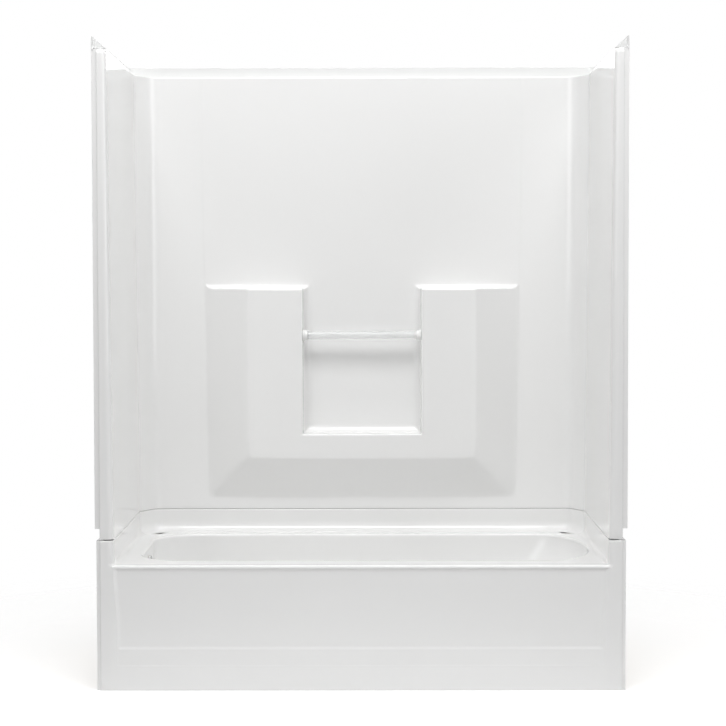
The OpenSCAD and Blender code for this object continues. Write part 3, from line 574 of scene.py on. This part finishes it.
def buildBasin():
    b, t, deck = bath, unit["skin"], unit["deck"]
    # rings every 4 mm down the left end wall, where the overflow hole is, then even angles
    drop = np.arange(4.0, 92.0, 4.0) / (deck - b["roll"] - b["floor"])
    fine = np.degrees(np.arcsin(drop ** 2))
    rings, hole = insideRings(fine)
    # the deck fans out from a point in the bath
    rim, centre, edge = rimPlan(0.0), np.array([b["fanX"], drainY]), deckEdge()
    outer = np.array([rayOut(centre, p, edge) for p in rim])
    for s in np.linspace(0, 1, 30)[1:] ** 1.2:
        xy = rim + (outer - rim) * s
        rings.append(np.column_stack([xy, deck + deckBump(xy[:, 0], xy[:, 1])]))
    grid = closeRings(rings)
    kept = pierce(grid)
    circle = arc([drainY, b["overflowZ"]], b["overflow"] / 2, 0, 360, 65)
    tube = np.array([np.column_stack([np.full(65, x), circle]) for x in b["tube"]])
    inside = makeGrids("tubInside", [(grid, False, kept), (tube, True)])
    hidden = [level(hole, b["floor"] - t), level(floorPlan(t - 3.0), b["floor"] - t)]
    hidden += [wallRing(a, t, deck - b["roll"] - 1, b["floor"] - t, 0.0)
               for a in np.radians(np.concatenate([np.linspace(88, 8, 20), fine[::-2]]))]
    hidden += [level(rimPlan(-b["roll"] * 0.4), deck - t - 2), level(rimPlan(2.0), deck - t),
               level(outer, deck - t)]
    grid = closeRings(hidden)
    kept = pierce(grid)
    return inside, makeGrids("tubUnder", [(grid, True, kept)])


# upstand round the deck: its grid, its rounded top and flange, and where its cove grows and fades
upstand = dict(sideRows=20, backCount=40, backReach=650.0, topRadius=4.0, flangeEdge=0.6,
               coveFrom=560.0, coveOver=200.0, frontFade=36.0, coveLeast=0.03)


def buildUpstand():
    u, deck, seam, t = upstand, unit["deck"], unit["seam"], unit["skin"]
    backX = np.linspace(-u["backReach"], u["backReach"], u["backCount"])
    inner, count = wallPlan(backX, u["sideRows"])
    outer = outerPlan(unit["tubHalf"], unit["depth"] - 1, inner, count)
    mi, mo = mitres(inner), mitres(outer)
    y, zero = inner[:, 1], np.zeros(len(inner))
    # the cove grows from the sides to the back and fades out at the open front
    grown = smooth((y - u["coveFrom"]) / u["coveOver"])
    rc = bath["cove"] + (bath["coveBack"] - bath["cove"]) * grown
    rc = rc * (u["coveLeast"] + (1 - u["coveLeast"]) * smooth((y - y[0]) / u["frontFade"]))

    def onWall(n, z):
        return np.column_stack([inner + mi * (zero + n)[:, None], zero + z])

    def onEdge(n, z):
        return np.column_stack([outer + mo * n, zero + z])

    face = [onWall(-rc - 3, deck - 0.35)]
    face += [onWall(rc * (math.cos(a) - 1), deck + rc * (1 + math.sin(a)))
             for a in np.radians(np.linspace(-90, 0, 13))]
    face += [onWall(0.0, z) for z in np.linspace(deck + bath["coveBack"] + 5, seam - 6, 4)]
    r = u["topRadius"]
    face += [onWall(n, z) for n, z in arc([r, seam - r], r, 180, 90, 7)]
    e, low = u["flangeEdge"], seam - t
    face += [onEdge(-e, seam), onEdge(0.0, seam - e), onEdge(0.0, low)]
    under = ((t + 4.0, low), (t + 1.0, low - 1.2), (t, low - 4), (t, deck - 2.0), (1.0, deck - 4.0),
             (-16.0, deck - 4.6))
    hidden = [onEdge(0.0, low)] + [onWall(n, z) for n, z in under]
    return (makeGrids("tubUpstand", [(np.stack(face, axis=1), False)]),
            makeGrids("tubUpstandBack", [(np.stack(hidden, axis=1), True)]))


# apron front: recessed panel in two terraces, and the rolled lip above it
apron = dict(
    base=69.0, step=120.0, low=1.2, high=4.6, half=700.0, flare=10.0, flareFrom=180.0,
    flareOver=160.0, bevel=10.0, lip=8.0, crown=2.0, soft=0.6, recessTop=353.5, stepRise=10.0,
    lowRise=5.0, topRise=7.5, corner=8.0, setBack=0.3, overlap=3.5,
)


# half width of the recess: it widens by a smooth step of the height
def panelEdge(z):
    return apron["half"] + apron["flare"] * smooth((z - apron["flareFrom"]) / apron["flareOver"])


# recess depth: min(side bevel, terraces by height), with rounded changes
def recessDepth(q, z):
    p = apron
    terrace = p["low"] * smooth((z - p["base"]) / p["lowRise"])
    terrace = terrace + (p["high"] - p["low"]) * smooth((z - p["step"] + 3) / p["stepRise"])
    terrace = terrace * (1 - smooth((z - p["recessTop"] + 7) / p["topRise"]))
    c = p["corner"]
    bend = np.hypot(np.maximum(c + q, 0), np.maximum(c - (z - p["base"]), 0)) - c
    side = np.where(z < p["base"] + c, -bend, -q) * p["high"] / p["bevel"]
    return np.maximum(softMin(side, terrace, p["soft"]), 0)


# heights of the apron's rows with their depth: closer at the terraces' edges, then the lip's arc
def apronRows(top):
    p, rise = apron, apron["stepRise"]
    base, step, end = p["base"], p["step"], p["recessTop"]
    zs = np.unique(np.round(np.concatenate([
        np.linspace(0, base - 4, 8), np.linspace(base - 3, base + rise + 14, 24),
        np.linspace(step - 4, step + rise + 3, 14), np.linspace(step + 14, end - 14, 26),
        np.linspace(end - 10, end - 1.5, 13), [top - p["lip"]]]), 3))
    lip = arc([p["lip"], top - p["lip"]], p["lip"], 180, 90, 13)[1:]
    return [(z, 0.0) for z in zs] + [(z, y) for y, z in lip] \
        + [(top - 0.05, 14.0), (top - 0.5, 22.0), (unit["deck"] - 0.4, 40.0)]


# right half of the apron, moved back by shift: x runs to the panel's edge and past it to the column
def apronGrid(rows, top, shift):
    edgeQ = np.concatenate([np.linspace(-30, -14, 5), np.linspace(-13, 3, 25)])
    share, even = np.linspace(0, 1, 34)[:-1], np.linspace(0, 1, len(edgeQ))
    grid = []
    for z, y in rows:
        edge = panelEdge(min(z, unit["deck"]))
        far = wallHalf + apron["overlap"] - edge
        q = np.concatenate([edgeQ[edgeQ < far], [far]])
        q = np.interp(even, np.linspace(0, 1, len(q)), q)
        x = np.concatenate([share * (edge + edgeQ[0]), edge + q])
        inRecess = z < top - apron["lip"] + 0.01
        depth = recessDepth(x - edge, np.full(len(x), z)) if inRecess else np.zeros(len(x))
        grid.append(np.column_stack([x, y + depth + shift, np.full(len(x), z)]))
    return np.array(grid)


def buildApron():
    top = unit["deck"] + apron["crown"]
    rows = apronRows(top)
    front = apronGrid(rows, top, apron["setBack"])
    back = apronGrid([r for r in rows if r[0] < top - 6][::2], top, apron["setBack"] + unit["skin"])
    back[-1, :, 2] = unit["deck"] - 3
    return (makeGrids("tubApron", bothSides(front, True)),
            makeGrids("tubApronBack", bothSides(back, False)))


# lower columns: the inner edge is square beside the apron and rounds off above the deck
lowerColumn = dict(topRadius=4.0, topDrop=4.2, roundFrom=343.0, roundOver=22.0, easeOver=16.0,
                   overlap=3.0)


def buildLowerColumns():
    c, r, top = lowerColumn, unit["bullRadius"], unit["seam"] - lowerColumn["topDrop"]
    crown = arc([c["topRadius"], top], c["topRadius"], 180, 90, 6)[1:]
    straight = np.concatenate([[0.0], np.linspace(1, 330, 12), np.linspace(341, 375, 18),
                               np.linspace(384, top, 5)])
    zs = np.concatenate([straight, crown[:, 1]])
    ts = np.concatenate([np.zeros(len(straight)), crown[:, 0]])
    rings = []
    for z, t in zip(zs, ts):
        b = max(r * smooth((z - c["roundFrom"]) / c["roundOver"]), 0.05)
        ease = 0.0 if z > unit["deck"] else 1 - float(smooth((z - c["roundFrom"]) / c["easeOver"]))
        s = columnSection(wallHalf - column["tuck"] + c["overlap"] * ease, t, b)
        if b < r:
            s[:, 1] = np.maximum(s[:, 1], 0)
        rings.append(level(s, z))
    return makeGrids("tubColumns", bothSides(np.array(rings + [closing(rings[-1])]), False))


# bar and its end sockets: a profile (x, radius) turned about the bar axis
bar = dict(radius=13.0, height=1000.0, inset=21.0, sides=64, gap=3.3, chamfer=1.0,
           socketLength=15.0, foot=5.5, footGap=0.15, waist=3.1, flareFrom=4.0, flareLength=8.0)
barY = blockY + bar["inset"]


# points (x, r cos a, r sin a) for every profile point and angle a
def turned(profile):
    profile, sides = np.asarray(profile, float), bar["sides"] + 1
    a = np.linspace(0, 2 * math.pi, sides)
    x = np.repeat(profile[:, 0][:, None], sides, axis=1)
    y = barY + profile[:, 1][:, None] * np.cos(a)[None, :]
    z = bar["height"] + profile[:, 1][:, None] * np.sin(a)[None, :]
    return np.stack([x, y, z], axis=-1)


def buildBar():
    r, c, half = bar["radius"], bar["chamfer"], block["nicheHalf"] - bar["gap"]
    middle = np.linspace(-half + 2, half - 2, 30)
    xs = np.concatenate([[-half, -half + c], middle, [half - c, half]])
    rs = np.full(len(xs), r)
    rs[[0, -1]] = r - c
    profile = np.vstack([[-half, 0.02], np.column_stack([xs, rs]), [half, 0.02]])
    return makeGrids("barRod", [(turned(profile), True)])


# bell of a socket: x = from + length (1 - cos t), radius = wide - waist sin t, between a flat foot
# and a short collar
def buildSockets():
    p, r, face = bar, bar["radius"], block["nicheHalf"] - bar["footGap"]
    wide, length = r + p["foot"], p["socketLength"]
    t = np.radians(np.linspace(0, 90, 16))
    flare = np.column_stack([p["flareFrom"] + p["flareLength"] * (1 - np.cos(t)),
                             wide - p["waist"] * np.sin(t)])
    start = [[0.0, 0.02], [0.0, wide - 0.5], [0.5, wide]]
    end = [[length - 0.8, r + 2.3], [length, r + 1.5], [length, r + 0.3], [2.6, r + 0.25]]
    profile = np.vstack([start, flare, end])
    return (makeGrids("socketLeft", [(turned(profile - [face, 0]), True)]),
            makeGrids("socketRight", [(turned(profile * [-1, 1] + [face, 0]), False)]))


surroundFace, surroundBack = buildSurround()
columnRight, columnLeft = buildColumns()
surroundFins, tubFins = buildFins()
tubInside, tubUnder = buildBasin()
tubUpstand, tubUpstandBack = buildUpstand()
tubApron, tubApronBack = buildApron()
tubColumns = buildLowerColumns()
barRod = buildBar()
socketLeft, socketRight = buildSockets()
print("moulded surfaces built")


# one shader value; + - * / and ** on it add Math nodes
class Signal:
    def __init__(self, tree, socket):
        self.tree, self.socket = tree, socket

    def math(self, operation, other=None, swap=False):
        node = self.tree.nodes.new("ShaderNodeMath")
        node.operation = operation
        values = [self] if other is None else [other, self] if swap else [self, other]
        for k, value in enumerate(values):
            if isinstance(value, Signal):
                self.tree.links.new(value.socket, node.inputs[k])
            else:
                node.inputs[k].default_value = value
        return Signal(self.tree, node.outputs[0])

    # the value kept between 0 and 1
    def limited(self):
        return self.math("MAXIMUM", 0.0).math("MINIMUM", 1.0)

    def __add__(self, other): return self.math("ADD", other)
    def __radd__(self, other): return self.math("ADD", other)
    def __sub__(self, other): return self.math("SUBTRACT", other)
    def __rsub__(self, other): return self.math("SUBTRACT", other, True)
    def __mul__(self, other): return self.math("MULTIPLY", other)
    def __rmul__(self, other): return self.math("MULTIPLY", other)
    def __truediv__(self, other): return self.math("DIVIDE", other)
    def __rtruediv__(self, other): return self.math("DIVIDE", other, True)
    def __pow__(self, other): return self.math("POWER", other)
    def __rpow__(self, other): return self.math("POWER", other, True)


# a material and its nodes
class Finish:
    def __init__(self, name):
        self.material = bpy.data.materials.new(name)
        self.material.use_nodes = True
        self.tree = self.material.node_tree
        self.tree.nodes.clear()

    # any node: its type, its settings, its sockets' values or links; gives the named output
    def node(self, kind, settings=None, sockets=None, output=0):
        node = self.tree.nodes.new("ShaderNode" + kind)
        for key, value in (settings or {}).items():
            setattr(node, key, value)
        for key, value in (sockets or {}).items():
            if isinstance(value, Signal):
                self.tree.links.new(value.socket, node.inputs[key])
            else:
                node.inputs[key].default_value = value
        return Signal(self.tree, node.outputs[output])

    def place(self):
        return self.node("TexCoord", output="Object")

    def scaled(self, x, y, z, turn=(0, 0, 0)):
        sockets = {"Vector": self.place(), "Scale": (x, y, z), "Rotation": turn}
        return self.node("Mapping", {}, sockets)

    # x, y or z of a vector as a value
    def part(self, vector, axis):
        return self.node("SeparateXYZ", {}, {"Vector": vector}, "xyz".index(axis))

    def noise(self, vector, scale, detail=2.0, rough=0.5, warp=0.0):
        return self.node("TexNoise", {}, {"Vector": vector, "Scale": scale, "Detail": detail,
                                          "Roughness": rough, "Distortion": warp})

    # mix of two colours by a value
    def mixColour(self, share, a, b):
        a, b = (c if isinstance(c, Signal) else (*c, 1.0) for c in (a, b))
        settings = {"data_type": "RGBA", "clamp_factor": True}
        return self.node("Mix", settings, {0: share, 6: a, 7: b}, 2)

    def bump(self, height, distance):
        sockets = {"Height": height, "Distance": distance, "Strength": 1.0}
        return self.node("Bump", {}, sockets, "Normal")

    # fixed numbers go straight on the shader's sockets, changing ones by links
    def surface(self, sockets):
        return self.output(self.node("BsdfPrincipled", {}, sockets))

    def output(self, shader):
        out = self.tree.nodes.new("ShaderNodeOutputMaterial")
        self.tree.links.new(shader.socket, out.inputs["Surface"])
        return self.material


# polished gelcoat: even white, faint mottle, long waves and fine orange peel from the mould; the
# nailing flange, from flangeFrom mm above the ledge, is rougher and carries a darker grey as
# painted shade
gelcoatLook = dict(
    light=(0.905, 0.905, 0.90), shade=(0.89, 0.89, 0.885), roughness=0.075, spread=0.035,
    gloss=0.7, peel=0.000012, wave=0.00005, dull=0.5, flangeShade=(0.76, 0.765, 0.76), flangeFrom=1.5,
    flangeBlend=400.0,
)


def gelcoatFinish(name, look):
    f = Finish(name)
    mottle = f.noise(f.place(), 2.2, 3.0)
    peel = f.noise(f.place(), 260.0, 2.0)
    wave = f.noise(f.place(), 3.1, 1.0, 0.4)
    rough = f.noise(f.place(), 9.0, 4.0)
    above = f.part(f.place(), "z") - (ledgeZ + look["flangeFrom"]) / 1000
    flangeDullAndShade = (above * look["flangeBlend"]).limited()
    white = f.mixColour(mottle, look["light"], look["shade"])
    return f.surface({
        # the flange's darker grey colour is painted shade; its added roughness is real dullness
        "Base Color": f.mixColour(flangeDullAndShade, white, look["flangeShade"]),
        "Roughness": look["roughness"] + rough * look["spread"] + flangeDullAndShade * look["dull"],
        "IOR": 1.5, "Specular IOR Level": look["gloss"],
        "Normal": f.bump(peel * look["peel"] + wave * look["wave"], 1.0)})


# sprayed back of the laminate: chopped strands at all angles in resin, rolled but rough
laminateLook = dict(resin=(0.60, 0.58, 0.49), strand=(0.74, 0.73, 0.67), wet=(0.48, 0.46, 0.37),
                    roughness=0.48, relief=0.0011, long=34.0, thin=420.0,
                    turns=[(0.0, 0.0, 0.3), (0.5, 0.9, 1.4), (1.1, 0.2, 2.3), (0.3, 1.4, 0.7)])


def laminateFinish(name, look):
    f = Finish(name)
    strands = None
    for turn in look["turns"]:
        vector = f.scaled(look["thin"], look["long"], look["thin"], turn)
        lines = (f.noise(vector, 1.0, 1.0, 0.4, 0.6) - 0.5) * 6.0
        strands = lines if strands is None else strands.math("MAXIMUM", lines)
    strands = strands.limited()
    lumps = f.noise(f.place(), 24.0, 4.0, 0.6)
    wet = f.noise(f.place(), 6.0, 3.0)
    colour = f.mixColour(strands * 0.7, look["resin"], look["strand"])
    colour = f.mixColour(wet * 0.35, colour, look["wet"])
    return f.surface({
        "Base Color": colour, "Roughness": look["roughness"] - strands * 0.12 + wet * 0.1,
        "Normal": f.bump(strands * 0.25 + lumps, look["relief"])})


# sawn softwood: growth rings round an offset pith, stretched along the piece, with fibres
timberLook = dict(early=(0.72, 0.53, 0.32), late=(0.52, 0.33, 0.16), fibre=(0.45, 0.28, 0.13),
                  pale=(0.80, 0.64, 0.42), roughness=0.62, ring=170.0, stretch=0.045,
                  pith=(0.031, -0.047), drift=0.035, relief=0.00025)


def timberFinish(name, axis, look):
    f = Finish(name)
    along = [look["stretch"] if k == axis else 1.0 for k in "xyz"]
    vector = f.scaled(*along)
    drift = f.noise(vector, 5.0, 2.0)
    a, b = [f.part(vector, k) for k in "xyz" if k != axis]
    pith = ((a + look["pith"][0]) ** 2.0 + (b * 0.8 + look["pith"][1]) ** 2.0) ** 0.5
    rings = ((pith + drift * look["drift"]) * look["ring"] * math.tau).math("SINE") * 0.5 + 0.5
    fibre = f.noise(f.scaled(*[v * 60 if v < 1 else v * 620 for v in along]), 1.0, 3.0, 0.6)
    tone = f.noise(vector, 11.0, 3.0)
    colour = f.mixColour(rings ** 2.2, look["early"], look["late"])
    colour = f.mixColour(fibre * 0.3, colour, look["fibre"])
    colour = f.mixColour(tone * 0.3, colour, look["pale"])
    return f.surface({
        "Base Color": colour, "Roughness": look["roughness"] + fibre * 0.18,
        "Normal": f.bump(fibre * 0.8 + rings * 0.4, look["relief"])})


# plywood: face veneer with long figure; the edges show plies across the thickness axis
plyLook = dict(face=(0.70, 0.53, 0.34), figure=(0.54, 0.36, 0.19), fibre=(0.42, 0.27, 0.14),
               endGrain=(0.36, 0.22, 0.11), glue=(0.30, 0.17, 0.08), plies=5.0, roughness=0.55,
               relief=0.00012)


# low and thick: where the board starts along its thickness axis, and its thickness, in metres
def plyFinish(name, axis, low, thick, look):
    f = Finish(name)
    figure = f.noise(f.scaled(1.2, 14.0, 14.0), 1.0, 4.0, 0.55, 1.2)
    fibre = f.noise(f.scaled(22.0, 500.0, 500.0), 1.0, 2.0, 0.5)
    ply = (f.part(f.place(), axis) - low) / (thick / look["plies"])
    line = (ply.math("FRACT") - 0.5).math("ABSOLUTE") * 2.0
    glue = (line ** 14.0).math("MINIMUM", 1.0)
    facing = f.part(f.node("TexCoord", output="Normal"), axis)
    edge = 1.0 - (facing.math("ABSOLUTE") * 4.0).math("MINIMUM", 1.0)
    crossed = (ply * 0.5).math("FRACT").math("ROUND")  # 1 on every second ply
    colour = f.mixColour(figure ** 1.5, look["face"], look["figure"])
    colour = f.mixColour(fibre * 0.25, colour, look["fibre"])
    colour = f.mixColour(edge * crossed * 0.45, colour, look["endGrain"])
    colour = f.mixColour(edge * glue, colour, look["glue"])
    return f.surface({
        "Base Color": colour, "Roughness": look["roughness"] + fibre * 0.15,
        "Normal": f.bump(fibre, look["relief"])})


# zinc plated steel: fine turning lines and cloudy plating
steelLook = dict(light=(0.66, 0.67, 0.68), dark=(0.50, 0.50, 0.50), roughness=0.28, relief=0.00003)


def steelFinish(name, look):
    f = Finish(name)
    lines = f.noise(f.scaled(60.0, 60.0, 2600.0), 1.0, 2.0)
    cloud = f.noise(f.place(), 160.0, 3.0)
    return f.surface({
        "Base Color": f.mixColour(cloud, look["light"], look["dark"]), "Metallic": 1.0,
        "Roughness": look["roughness"] + lines * 0.16, "Normal": f.bump(lines, look["relief"])})


# closed cell foam strip: fine pores and dusty tone
foamLook = dict(light=(0.36, 0.36, 0.365), dark=(0.27, 0.27, 0.28), roughness=0.85, pore=900.0,
                relief=0.0004)


def foamFinish(name, look):
    f = Finish(name)
    cells = f.node("TexVoronoi", {}, {"Vector": f.place(), "Scale": look["pore"]}, "Distance")
    dust = f.noise(f.place(), 40.0, 3.0)
    return f.surface({
        "Base Color": f.mixColour(dust * 0.6 + cells * 0.4, look["dark"], look["light"]),
        "Roughness": look["roughness"] - cells * 0.1, "Normal": f.bump(cells, look["relief"])})


# clear cast rod: faint haze and fine lengthwise scratches
rodLook = dict(light=(0.97, 0.975, 0.975), haze=(0.93, 0.94, 0.94), roughness=0.07, spread=0.02,
               through=0.7, scratch=0.0000002)


def rodFinish(name, look):
    f = Finish(name)
    haze = f.noise(f.place(), 14.0, 3.0)
    scratches = f.noise(f.scaled(260.0, 900.0, 900.0), 1.0, 2.0)
    return f.surface({
        "Base Color": f.mixColour(haze, look["light"], look["haze"]),
        "Roughness": look["roughness"] + haze * look["spread"],
        "Transmission Weight": look["through"], "IOR": 1.49,
        "Normal": f.bump(scratches, look["scratch"])})


gelcoat = gelcoatFinish("polishedGelcoat", gelcoatLook)
clearRod = rodFinish("clearRod", rodLook)
laminate = laminateFinish("sprayedLaminate", laminateLook)
steel = steelFinish("platedSteel", steelLook)
foam = foamFinish("sealFoam", foamLook)
timbers = {axis: timberFinish("sawnTimber" + axis.upper(), axis, timberLook) for axis in "xyz"}


def dress(piece, material):
    piece.data.materials.clear()
    piece.data.materials.append(material)


def settle(piece, material, slot, *nodes):
    dress(piece, material)
    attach(piece, "root")
    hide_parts(*nodes)


for piece in (surroundFace, columnRight, columnLeft, surroundFins):
    settle(piece, gelcoat, "gelcoat", "surround_shell")
for piece in (tubApron, tubColumns, tubFins):
    settle(piece, gelcoat, "gelcoat", "tub_apron")
settle(tubInside, gelcoat, "gelcoat", "tub_basin", "tub_deck")
settle(tubUpstand, gelcoat, "gelcoat", "tub_deck")
settle(surroundBack, laminate, "gelcoat", "surround_shell")
settle(tubUnder, laminate, "gelcoat", "tub_basin", "tub_deck")
settle(tubUpstandBack, laminate, "gelcoat", "tub_deck")
settle(tubApronBack, laminate, "gelcoat", "tub_apron")
settle(barRod, clearRod, "bar", "niche_bar")
settle(socketLeft, gelcoat, "bar", "bar_socket_left")
settle(socketRight, gelcoat, "bar", "bar_socket_right")

# grain follows each timber node's longest side; plies lie across each board's thinnest side
grain = dict(
    bearer_front="x", bearer_middle="x", bearer_rear="x", rim_batten_front="x",
    deck_batten_back="x", top_ledge_batten="x", side_rail_left="y", side_rail_right="y",
    front_legs="z", back_legs="z", side_legs="z", lower_back_battens="z", column_post_left="z",
    column_post_right="z",
)
across = dict(
    floor_core="z", apron_stiffener="y", left_wall_backer="x", right_wall_backer="x",
    upper_back_backer="y", shelf_backer_left="z", shelf_backer_right="z",
)
cadObjects = {o["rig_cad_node"]: o for o in bpy.context.scene.objects if "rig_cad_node" in o}
for node, axis in grain.items():
    dress(cadObjects[node], timbers[axis])
for node, axis in across.items():
    low, high = (corner["xyz".index(axis)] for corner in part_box(node))
    dress(cadObjects[node], plyFinish("plywood_" + node, axis, low, high - low, plyLook))
for node in ("bar_screws", "seam_bolts", "seam_washers", "seam_nuts"):
    dress(cadObjects[node], steel)
dress(cadObjects["seam_gasket"], foam)
print("materials set")

# camera from the fitted view: place in metres, pitch, yaw and roll in radians, lens in millimetres
view = dict(place=(0.0333, -5.8349, 1.1674), pitch=0.0418, yaw=0.0049, roll=-0.0018, lens=94.59,
            sensor=36.0, farClip=100.0)
camera = addObject("viewCamera", bpy.data.cameras.new("viewCamera"))
camera.data.lens = view["lens"]
camera.data.sensor_width = view["sensor"]
camera.data.clip_end = view["farClip"]
turns = ((view["yaw"], "Z"), (math.pi / 2 - view["pitch"], "X"), (view["roll"], "Z"))
yaw, pitch, roll = (Matrix.Rotation(angle, 4, axis) for angle, axis in turns)
camera.matrix_world = Matrix.Translation(view["place"]) @ (yaw @ pitch @ roll)
bpy.context.scene.camera = camera

# paper floor that fades out in an even white surround; world is what the surround lights with
studio = dict(floor=(0.86, 0.86, 0.86), floorGlow=0.49, reach=4.0, drop=0.0005, fadeFrom=0.95,
              fadeTo=2.1, world=0.195)


# 1 for the rays that show the surround and the paper's glow: direct, mirrored, through the bar
def seenDirectly(tree):
    path = tree.nodes.new("ShaderNodeLightPath")
    rays = ("Is Camera Ray", "Is Glossy Ray", "Is Transmission Ray")
    direct, mirrored, through = (Signal(tree, path.outputs[ray]) for ray in rays)
    return direct.math("MAXIMUM", mirrored).math("MAXIMUM", through)


def makeFloor():
    s, r, z = studio, studio["reach"], -studio["drop"]
    mesh = bpy.data.meshes.new("studioFloor")
    mesh.from_pydata([(-r, -r, z), (r, -r, z), (r, r, z), (-r, r, z)], [], [(0, 1, 2, 3)])
    floor = addObject("studioFloor", mesh)
    f = Finish("floorPaper")
    grit = f.noise(f.place(), 30.0, 3.0)
    sockets = {"Base Color": (*s["floor"], 1.0), "Roughness": 0.9 - grit * 0.05}
    paper = f.node("BsdfPrincipled", {}, sockets)
    glow = f.node("Emission", {}, {"Strength": seenDirectly(f.tree) * s["floorGlow"]})
    both = f.node("AddShader", {}, {0: paper, 1: glow})
    radius = f.node("VectorMath", {"operation": "LENGTH"}, {0: f.place()}, "Value")
    fade = ((radius - s["fadeFrom"]) / (s["fadeTo"] - s["fadeFrom"])).limited()
    mixed = f.node("MixShader", {}, {0: fade, 1: both, 2: f.node("BsdfTransparent")})
    floor.data.materials.append(f.output(mixed))


def makeWorld():
    world = bpy.data.worlds.new("studioWorld")
    world.use_nodes = True
    tree = world.node_tree
    tree.nodes.clear()
    strength = seenDirectly(tree) * (1.0 - studio["world"]) + studio["world"]
    back = tree.nodes.new("ShaderNodeBackground")
    back.inputs["Color"].default_value = (1.0, 1.0, 1.0, 1.0)
    tree.links.new(strength.socket, back.inputs["Strength"])
    out = tree.nodes.new("ShaderNodeOutputWorld")
    tree.links.new(back.outputs[0], out.inputs["Surface"])
    bpy.context.scene.world = world


# soft lamps in metres and watts: place, the point each faces, width and height, power
lamps = dict(
    lampTop=((0.0, -2.1, 4.15), (0.0, 0.1, 0.9), (3.0, 1.5), 93.0),
    lampBack=((0.0, 0.2, 4.3), (0.0, 0.1, 0.0), (2.0, 0.8), 12.0),
    lampLeft=((-3.1, -3.8, 2.6), (0.0, 0.1, 0.9), (3.0, 3.0), 35.0),
    lampRight=((3.9, -2.6, 2.2), (0.0, 0.1, 0.9), (2.8, 3.0), 42.0),
    lampFront=((0.0, -5.2, 2.6), (0.0, 0.1, 0.9), (3.0, 1.6), 1.0),
    lampRear=((0.0, 5.4, 2.3), (0.0, 0.4, 0.8), (3.6, 2.0), 60.0),
)


def softLamp(name, place, target, size, power):
    data = bpy.data.lights.new(name, "AREA")
    data.shape = "RECTANGLE"
    data.size, data.size_y = size
    data.energy = power
    lamp = addObject(name, data)
    lamp.location = place
    direction = Vector(target) - Vector(place)
    lamp.rotation_euler = direction.to_track_quat("-Z", "Y").to_euler()


makeFloor()
makeWorld()
for name, settings in lamps.items():
    softLamp(name, *settings)
bpy.context.scene.view_settings.view_transform = "Standard"
print("camera, lamps and floor set")
